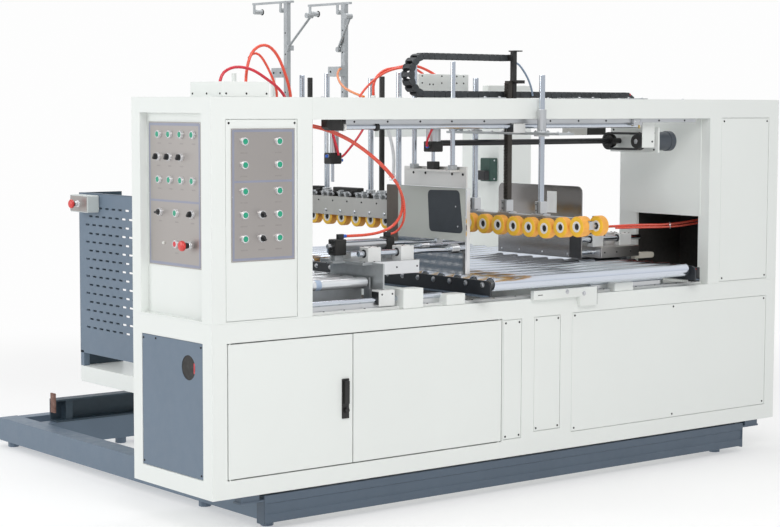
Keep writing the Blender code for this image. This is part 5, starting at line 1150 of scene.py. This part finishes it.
# Stop button on the guard, and boxes on the beams and on the rear column.
@piece("guard_stop_cover", slot="white_paint", replaces=("guard_stop_box",))
def stop_box(kit):
    y, z = 1.6455, 1.028
    kit.box(0.36, 0.4197, 1.567, 1.724, 0.99, 1.066, "box_grey", 0.003)
    kit.box(0.358, 0.3605, 1.571, 1.72, 0.994, 1.062, "panel", 0.0006)
    kit.lathe((0.358, y, z), LEFT, [(0.0155, 0), (0.0155, 0.004), (0.0115, 0.005), (0.0115, 0.02),
              (0, 0.02)], "bezel", 28)
    kit.lathe((0.338, y, z), LEFT, [(0.011, 0), (0.011, 0.012), (0.0, 0.012)], "black", 24)
    kit.lathe((0.33, y, z), LEFT, [(0.015, 0), (0.019, 0.002), (0.02, 0.006), (0.0196, 0.011),
              (0.015, 0.0155), (0.007, 0.0172), (0, 0.017)], "stop", 32)
    for dy in (-0.07, 0.07):
        for dz in (-0.03, 0.03):
            kit.screw((0.358, y + dy, z + dz), LEFT, 0.0024, 0.0012, "bolt")


@piece("top_covers")
def top_boxes(kit):
    """Covers on the portal behind the chain, and the screws of the top."""
    for x0, x1, z1 in ((1.385, 1.669, 1.606), (1.788, 2.041, 1.56)):
        kit.box(x0, x1, 0.5, 0.545, BEAM_TOP + 0.0002, z1, "white", 0.002)
    for x, z in ((1.405, 1.597), (1.405, 1.567), (1.447, 1.561), (1.466, 1.561), (1.515, 1.597),
                 (1.515, 1.567), (1.64, 1.597), (1.64, 1.567), (1.6, 1.597), (1.6, 1.567)):
        kit.screw((x, 0.5, z), FRONT, 0.0038, 0.0018)
    kit.box(2.399, 2.516, 0.495, 0.545, 1.335, 1.4148, "oxide", 0.003)
    # A white box under the rear beam in the darker white: painted shade.
    kit.box(2.279, 2.394, 0.495, 0.545, 1.335, 1.4148, "white_in_shade", 0.002)
    kit.hexbolts((0.52, 0.9, 1.7, 2.12, 2.52), 0.02, BEAM_TOP, UP, 0.005, 0.004)


@piece("column_valve_box")
def column_box(kit):
    """Small green valve box with a coil, on the left face of the rear column."""
    x = 2.925
    kit.box(x - 0.055, x + 0.0005, 1.72, 1.8, 1.067, 1.191, "valve_green", 0.004)
    kit.box(x - 0.09, x - 0.053, 1.725, 1.79, 1.075, 1.125, "black", 0.004)
    kit.screws(x - 0.024, 1.72, (1.08, 1.178), FRONT, 0.0045, 0.0022, "bolt")


# Infeed guard: a sheet with fifteen staggered rows of slots.
GUARD_FOOT = 0.2838      # underside of the guard's posts
SLOT_HALF, SLOT_R, SLOT_SIDES = 0.013, 0.0045, 12


@piece("infeed_guard_sheet", slot="blue_grey_paint", replaces=("infeed_guard",))
def guard(kit):
    x0, x1 = 0.42, 0.424
    y_lo, y_hi, z_lo, z_hi = 0.6, 1.75, 0.345, 1.073
    pitch_y, pitch_z, rows = 0.058, 0.0387, 15
    z_top = 1.008 + pitch_z / 2
    z_bottom = z_top - rows * pitch_z
    n = SLOT_SIDES
    round_faces = [[k, (k + 1) % n, n + (k + 1) % n, n + k] for k in range(n)]

    def plate(ya, yb, za, zb):
        if yb - ya > 1e-6:
            kit.add([(x0, ya, za), (x0, yb, za), (x0, yb, zb), (x0, ya, zb)], [[0, 3, 2, 1]], "blue")
            kit.add([(x1, ya, za), (x1, yb, za), (x1, yb, zb), (x1, ya, zb)], [[0, 1, 2, 3]], "blue")

    plate(y_lo, y_hi, z_top, z_hi)
    plate(y_lo, y_hi, z_lo, z_bottom)
    for row in range(rows):
        za = z_top - (row + 1) * pitch_z
        zb = za + pitch_z
        zc = (za + zb) / 2
        start = y_hi - 0.046 - (0.0 if row % 2 == 0 else 0.029)
        y = start
        plate(start, y_hi, za, zb)
        while y - pitch_y > y_lo + 0.02:
            ya, yb = y - pitch_y, y
            yc = (ya + yb) / 2
            hole = []
            for k in range(SLOT_SIDES):
                t = 2 * math.pi * (k + 0.5) / SLOT_SIDES
                c, s = math.cos(t), math.sin(t)
                hole.append((yc + math.copysign(SLOT_HALF, c) + SLOT_R * c, zc + SLOT_R * s))
            left, right, high, low = yc - SLOT_HALF, yc + SLOT_HALF, zc + 0.006, zc - 0.006
            corner = [(yb, high), (yb, zb), (right, zb), (left, zb), (ya, zb), (ya, high),
                      (ya, low), (ya, za), (left, za), (right, za), (yb, za), (yb, low)]
            for x, flip in ((x0, True), (x1, False)):
                points = [(x, *p) for p in corner] + [(x, *p) for p in hole]
                kit.add(points, [face[::-1] if flip else face for face in round_faces], "blue")
            kit.add([(x0, *p) for p in hole] + [(x1, *p) for p in hole], round_faces, "blue")
            y = ya
        plate(y_lo, y, za, zb)
    for ya, yb in ((y_lo, y_lo + 0.0015), (y_hi - 0.0015, y_hi)):
        kit.box(x0, x1, ya, yb, z_lo, z_hi, "blue", 0.0)
    kit.box(x0, x0 + 0.024, y_lo, y_hi, z_hi - 0.0025, z_hi, "blue", 0.0006)
    kit.box(x0 + 0.0005, x1 - 0.0005, y_lo, y_hi, z_lo, z_lo + 0.0015, "blue", 0.0)
    for ya, yb, post_end in ((y_hi - 0.03, y_hi - 0.0005, y_hi - 0.005), (y_lo, y_lo + 0.03, y_lo + 0.03)):
        kit.box(x0, x0 + 0.03, ya, yb, GUARD_FOOT, z_lo + 0.01, "blue")
        kit.box(x0 + 0.004, x0 + 0.03, ya, post_end, z_lo, z_hi - 0.003, "blue")
    # The end panel takes the darker blue: painted shade.
    kit.box(x0 + 0.003, x0 + 0.22, y_hi - 0.004, y_hi, GUARD_FOOT, z_hi, "blue_in_shade")


# Rollers of the outfeed.
ROLLER_X0, ROLLER_X1, ROLLER_R, ROLLER_Z = 1.345, 2.507, 0.03, 0.737
ROLLER_Y0, ROLLER_PITCH = -0.02, 0.105
FREE_ROLLERS = 4
FIXED_ROLLERS = (FREE_ROLLERS, 18)
CHANNEL_X0, CHANNEL_X1, CHANNEL_T = 1.303, 2.525, 0.01


def roller_tube(kit, y):
    """A tube with a rim and a bearing cap at each end."""
    x0, r, length = ROLLER_X0, ROLLER_R, ROLLER_X1 - ROLLER_X0
    kit.lathe((x0, y, ROLLER_Z), RIGHT, [(0.0235, 0.006), (0.0235, 0.0), (r - 0.002, 0.0),
              (r - 0.0004, 0.0009), (r, 0.003), (r, length - 0.003), (r - 0.0004, length - 0.0009),
              (r - 0.002, length), (0.0235, length), (0.0235, length - 0.006)], "roller", 48)
    for x, way in ((x0, -1), (ROLLER_X1, 1)):
        kit.lathe((x - way * 0.006, y, ROLLER_Z), (way, 0, 0), [(0.0236, 0.0), (0.0236, 0.0032),
                  (0.02, 0.0045), (0.011, 0.0045), (0.0105, 0.003), (0.0, 0.003)], "galv", 32)


def outfeed_rollers():
    """The four front rollers, each a piece on its own body."""
    for i in range(FREE_ROLLERS):
        y = ROLLER_Y0 + i * ROLLER_PITCH
        kit = Kit(f"outfeed_tube_{i + 1}", f"roller_{i + 1}", "ground_steel",
                  (f"outfeed_roller_{i + 1}",))
        roller_tube(kit, y)
        kit.rod((1.298, y, ROLLER_Z), (ROLLER_X0 + 0.004, y, ROLLER_Z), 0.0078, "bolt", 16)
        kit.rod((ROLLER_X1 - 0.004, y, ROLLER_Z), (2.54, y, ROLLER_Z), 0.0078, "bolt", 16)
        kit.hexbolt((1.303, y, ROLLER_Z), LEFT, 0.0085, 0.0065)
        kit.done()


outfeed_rollers()


# Bed with its dark side channels and the rollers farther in.
@piece("bed_frame", slot="brushed_steel", replaces=("roller_bed",))
def bed(kit):
    y_front, y_back = -0.068, 1.813
    for x0, way in ((CHANNEL_X0, -1), (CHANNEL_X1, 1)):
        kit.box(x0, x0 + CHANNEL_T, y_front + 0.02, y_back, 0.69, 0.755, "channel")
        outline = [(y_front + 0.021, 0.69), (y_front + 0.004, 0.69), (y_front, 0.7),
                   (y_front + 0.001, 0.735), (y_front + 0.008, 0.749), (y_front + 0.021, 0.755)]
        kit.prism(outline, "X", x0, x0 + CHANNEL_T, "channel")
        flange = (x0 - 0.03, x0 + 0.001) if way < 0 else (x0 + 0.009, x0 + 0.04)
        kit.box(*flange, y_front + 0.008, y_back - 0.008, 0.69, 0.695, "blue_rail", 0.001)
        face = x0 if way < 0 else x0 + CHANNEL_T
        for i in range(*FIXED_ROLLERS):
            kit.hexbolt((face, ROLLER_Y0 + i * ROLLER_PITCH, ROLLER_Z), (way, 0, 0), 0.0075, 0.007)
    for i in range(*FIXED_ROLLERS):
        y = ROLLER_Y0 + i * ROLLER_PITCH
        roller_tube(kit, y)
        kit.rod((CHANNEL_X0 + 0.008, y, ROLLER_Z), (ROLLER_X0 + 0.004, y, ROLLER_Z), 0.008, "bolt", 12)
        kit.rod((ROLLER_X1 - 0.004, y, ROLLER_Z), (CHANNEL_X1 + 0.002, y, ROLLER_Z), 0.008, "bolt", 12)
    # Cross bars under the rollers in the darker blue: painted shade.
    for y in (0.35, 1.0975, 1.753):
        kit.box(CHANNEL_X0 + 0.008, CHANNEL_X1 + 0.002, y - 0.015, y + 0.015, 0.69, 0.702, "blue_in_shade")
    kit.box(1.287, 2.551, 0.15, 0.19, SILL_TOP, 0.692, "white")
    for x in (1.287, 2.521):
        kit.box(x, x + 0.03, 1.73, 1.79, 0.5603, 0.693, "white")
    kit.box(2.563, 2.595, -0.035, 0.01, 0.68, 0.699, "black", 0.002)
    kit.box(2.575, 2.595, -0.035, 0.01, 0.69, 0.745, "black", 0.003)
    kit.box(2.5745, 2.5755, -0.03, 0.005, 0.702, 0.74, "red", 0.0004)
    for y in (0.04, 0.14):
        kit.box(1.42, 1.56, y, y + 0.0006, 0.744, 0.7446, "carton", 0.0)


# Linings of openings, which paint shade.
@piece("right_tower_lining")
def tower_lining(kit):
    """Painted shade: a dark lining in the right tower's opening, its inner panel in the darker white, and a
    dark disc as the service hole at the left.
    """
    kit.lathe((0.0035, 0.166, 0.484), LEFT, [(0.0476, 0), (0.0476, 0.0004), (0, 0.0004)], "dark", 40)
    kit.box(0.0026, 0.003, 0.123, 0.131, 0.464, 0.504, "red", 0.0001)
    x0, x1 = 2.7, 2.9847
    y0, y1, z0, z1 = 0.0643, 0.4547, 0.6663, 0.9677
    t = 0.0003           # thickness of the lining
    kit.box(x1 - t, x1, y0, y1, z0, z1, "dark", 0.0)
    kit.box(x0, x1, y1 - t, y1, z0, z1, "dark", 0.0)
    kit.box(x0, x1, y0, y0 + t, z0, z1, "dark", 0.0)
    kit.box(x0, x1, y0, y1, z1 - t, z1, "dark", 0.0)
    kit.box(2.6842, 2.6852, 0.06, 0.494, 0.973, 1.409, "white_in_shade", 0.0003)
    for y, z in ((0.068, 1.401), (0.068, 0.981), (0.486, 0.981)):
        kit.screw((2.6842, y, z), LEFT)


# A valve cylinder under the rear beam, with its two fittings.
@piece("valve_cylinder", slot="brushed_steel")
def valve_cylinder(kit):
    x, y = 0.944, 0.527
    kit.disc((x, y, 1.27), UP, 0.022, 0.13, "alu", 32)
    kit.box(x - 0.026, x + 0.026, y - 0.026, y + 0.026, 1.396, 1.4148, "oxide", 0.003)
    kit.box(x - 0.028, x + 0.03, y - 0.026, y + 0.026, 1.225, 1.272, "oxide", 0.004)
    for px, py in arc(x, y, 0.0235, *FOUR_ROUND):
        kit.rod((px, py, 1.268), (px, py, 1.4), 0.003, "bolt", 8)
    kit.rod((x, y, 1.15), (x, y, 1.226), 0.007, "chrome", 16)
    fitting(kit, (x - 0.028, y - 0.01, 1.258), LEFT)
    fitting(kit, (x + 0.03, y - 0.01, 1.24), RIGHT)


# Thin air lines and cables that only the scene has.
THIN_HOSES = {
    "left_pusher_second": ("hose", 0.005, [
        (0.4585, 0.1, 1.39), (0.48, 0.1, 1.39), (0.52, 0.101, 1.387), (0.58, 0.105, 1.377),
        (0.65, 0.113, 1.358), (0.739, 0.123, 1.324), (0.829, 0.134, 1.277), (0.905, 0.145, 1.228),
        (0.965, 0.156, 1.182), (1.014, 0.168, 1.136), (1.046, 0.18, 1.088), (1.062, 0.192, 1.04),
        (1.069, 0.206, 1.0), (1.066, 0.224, 0.97), (1.056, 0.24, 0.951), (1.044, 0.249, 0.944),
        (1.03, 0.25, 0.943)]),
    "right_pusher_second": ("hose", 0.005, [
        (2.52, 0.43, 0.901), (2.56, 0.412, 0.901), (2.6, 0.386, 0.902), (2.65, 0.352, 0.903),
        (2.71, 0.302, 0.905), (2.77, 0.248, 0.912), (2.83, 0.196, 0.926), (2.89, 0.152, 0.941),
        (2.94, 0.124, 0.945), (2.965, 0.12, 0.945), (2.9845, 0.12, 0.945)]),
    "tower_top_second": ("hose", 0.005, [
        (0.405, 0.353, 1.652), (0.42, 0.354, 1.668), (0.445, 0.355, 1.672), (0.47, 0.356, 1.656),
        (0.498, 0.357, 1.618), (0.524, 0.358, 1.572), (0.545, 0.364, 1.528), (0.559, 0.384, 1.492),
        (0.566, 0.418, 1.468), (0.568, 0.4747, 1.458)]),
    "lift_hose": ("hose_deep", 0.005, [
        (1.2, 0.086, 1.44), (1.199, 0.11, 1.434), (1.196, 0.145, 1.407), (1.192, 0.178, 1.368),
        (1.19, 0.2, 1.33), (1.194, 0.212, 1.308), (1.203, 0.217, 1.3)]),
    "bay_drop": ("hose_deep", 0.0055, [
        (0.912, 0.497, 1.412), (0.914, 0.496, 1.385), (0.922, 0.495, 1.35), (0.934, 0.495, 1.315),
        (0.946, 0.496, 1.285), (0.952, 0.497, 1.262)]),
    "bay_cross_high": ("hose_deep", 0.005, [
        (1.12, 0.52, 1.412), (1.112, 0.52, 1.39), (1.09, 0.522, 1.355), (1.06, 0.524, 1.318),
        (1.026, 0.524, 1.284), (0.998, 0.519, 1.262), (0.974, 0.512, 1.252)]),
    "head_rise": ("hose", 0.005, [
        (1.08, 0.52, 1.505), (1.092, 0.52, 1.52), (1.12, 0.52, 1.548), (1.165, 0.52, 1.582),
        (1.22, 0.52, 1.61), (1.275, 0.52, 1.626), (1.33, 0.521, 1.632), (1.385, 0.523, 1.626),
        (1.43, 0.526, 1.607)]),
    "tape_head_hose": ("hose_orange", 0.0055, [
        (1.405, 1.075, 1.64), (1.36, 1.04, 1.628), (1.3, 0.97, 1.603), (1.245, 0.88, 1.572),
        (1.19, 0.77, 1.545), (1.152, 0.66, 1.524), (1.132, 0.58, 1.511), (1.126, 0.55, 1.506)]),
    "bay_conduit": ("conduit", 0.007, [
        (1.225, 0.53, 1.414), (1.236, 0.53, 1.38), (1.252, 0.53, 1.336), (1.266, 0.53, 1.29),
        (1.273, 0.53, 1.24), (1.272, 0.53, 1.19), (1.271, 0.53, 1.15)]),
    "post_cable": ("cable_blue", 0.0042, [
        (1.66, 0.19, 1.655), (1.684, 0.19, 1.645), (1.711, 0.19, 1.62), (1.738, 0.19, 1.585),
        (1.758, 0.19, 1.545), (1.766, 0.19, 1.512)]),
}


@piece("hose_ties", slot="white_paint")
def hose_ties(kit):
    """White cable ties round the two doubled hoses."""
    for place, along, wide in (((0.9757, 0.1649, 1.18), (0.71, 0.16, -0.69), 0.0158),
                               ((2.736, 0.2874, 0.9133), (0.737, -0.676, 0.09), 0.0152)):
        kit.lathe(place, along, [(wide, -0.002), (wide + 0.0008, -0.0015), (wide + 0.0008, 0.0015),
                  (wide, 0.002), (wide - 0.0012, 0.0015), (wide - 0.0012, -0.0015), (wide, -0.002)],
                  "bezel", 28)


for hose_name, (hose_look, hose_radius, hose_route) in THIN_HOSES.items():
    air_hose(hose_name, hose_look, hose_route, hose_radius, replaces=False)


# Floor, light and backdrop.
FLOOR_NEAR, FLOOR_FAR = 2.6, 5.5      # where the lit floor starts and ends to fade into the backdrop
BACKDROP = (0.985, 0.985, 0.985, 1.0)


def studio_floor():
    """A pale lit floor that fades into the backdrop with distance."""
    mat, tree, shader = new_material("pale_floor")
    coord = tree.nodes.new("ShaderNodeTexCoord").outputs["Object"]
    cloud = spread(tree, noise(tree, coord, 0.6), 0.0, 1.0)
    shade = mix(tree, cloud, (0.62, 0.62, 0.62), (0.6, 0.6, 0.6))
    feed(tree, shader, {"Base Color": shade, "Roughness": 0.95, "Specular IOR Level": 0.0,
                        "Emission Color": (1, 1, 1, 1), "Emission Strength": 0.42})
    glow = add_node(tree, "ShaderNodeEmission", {"Color": BACKDROP})
    flat = add_node(tree, "ShaderNodeMapping", {"Scale": (1, 1, 0), "Vector": coord})
    reach = add_node(tree, "ShaderNodeVectorMath", {0: flat.outputs["Vector"]})
    reach.operation = "LENGTH"
    fade = add_node(tree, "ShaderNodeMapRange", {"From Min": FLOOR_NEAR, "From Max": FLOOR_FAR,
                                                 "Value": reach.outputs["Value"]})
    fade.interpolation_type = "SMOOTHSTEP"
    join = blend(tree, fade.outputs["Result"], shader, glow)
    tree.links.new(join.outputs[0], tree.nodes["Material Output"].inputs["Surface"])
    mesh = bpy.data.meshes.new("studio_floor")
    mesh.from_pydata([(-18, -14, 0), (18, -14, 0), (18, 22, 0), (-18, 22, 0)], [], [[0, 1, 2, 3]])
    mesh.materials.append(mat)
    add_object("studio_floor", mesh)


def sky(tree, stops, strength):
    """Background whose colour runs from the nadir to the zenith."""
    coord = tree.nodes.new("ShaderNodeTexCoord").outputs["Generated"]
    split = add_node(tree, "ShaderNodeSeparateXYZ", {0: coord})
    lift = spread(tree, split.outputs["Z"], 0.0, 1.0, -1.0, 1.0)
    ramp = add_node(tree, "ShaderNodeValToRGB", {"Fac": lift})
    ends = ramp.color_ramp.elements
    for end, (position, colour) in ((ends[0], stops[0]), (ends[1], stops[-1])):
        end.position, end.color = position, (*colour, 1)
    for position, colour in stops[1:-1]:
        ends.new(position).color = (*colour, 1)
    return add_node(tree, "ShaderNodeBackground", {"Color": ramp.outputs["Color"], "Strength": strength})


def studio_world():
    """Soft light for matt surfaces, a livelier sky for shiny ones, and a plain backdrop for the camera."""
    world = bpy.data.worlds.new("studio")
    bpy.context.scene.world = world
    world.use_nodes = True
    tree = world.node_tree
    diffuse = sky(tree, [(0, (0.62, 0.61, 0.6)), (0.5, (0.7, 0.71, 0.72)), (1, (1, 1, 1))], 0.55)
    shiny = sky(tree, [(0, (0.8, 0.8, 0.8)), (0.5, (0.66, 0.68, 0.71)), (0.56, (0.88, 0.91, 0.96)),
                       (0.75, (1, 1, 1)), (1, (0.84, 0.86, 0.9))], 0.95)
    plain = add_node(tree, "ShaderNodeBackground", {"Color": BACKDROP})
    path = tree.nodes.new("ShaderNodeLightPath").outputs
    gloss = blend(tree, path["Is Glossy Ray"], diffuse, shiny)
    seen = add_node(tree, "ShaderNodeMath", {0: path["Is Camera Ray"], 1: path["Is Transmission Ray"]})
    seen.operation = "MAXIMUM"
    join = blend(tree, seen.outputs["Value"], gloss, plain)
    tree.links.new(join.outputs[0], tree.nodes["World Output"].inputs["Surface"])


def lamp(name, place, target, size, power, colour):
    data = bpy.data.lights.new(name, "AREA")
    data.shape = "RECTANGLE"
    data.size, data.size_y = size
    data.energy = power
    data.color = colour
    obj = add_object(name, data)
    obj.location = place
    obj.rotation_euler = (Vector(target) - Vector(place)).to_track_quat("-Z", "Y").to_euler()


studio_floor()
studio_world()
lamp("key", (-2.6, -5.4, 4.6), (0.0, -0.4, 0.9), (3.5, 2.5), 148, (1.0, 1.0, 0.99))
lamp("side", (-6.2, 2.0, 2.8), (-1.1, 0.5, 0.7), (3.0, 2.5), 100, (0.98, 1.0, 1.0))
lamp("top", (0.4, 0.6, 5.4), (0.2, 0.2, 0.5), (4.0, 3.0), 90, (1.0, 1.0, 1.0))
bpy.context.scene.view_settings.view_transform = "Standard"
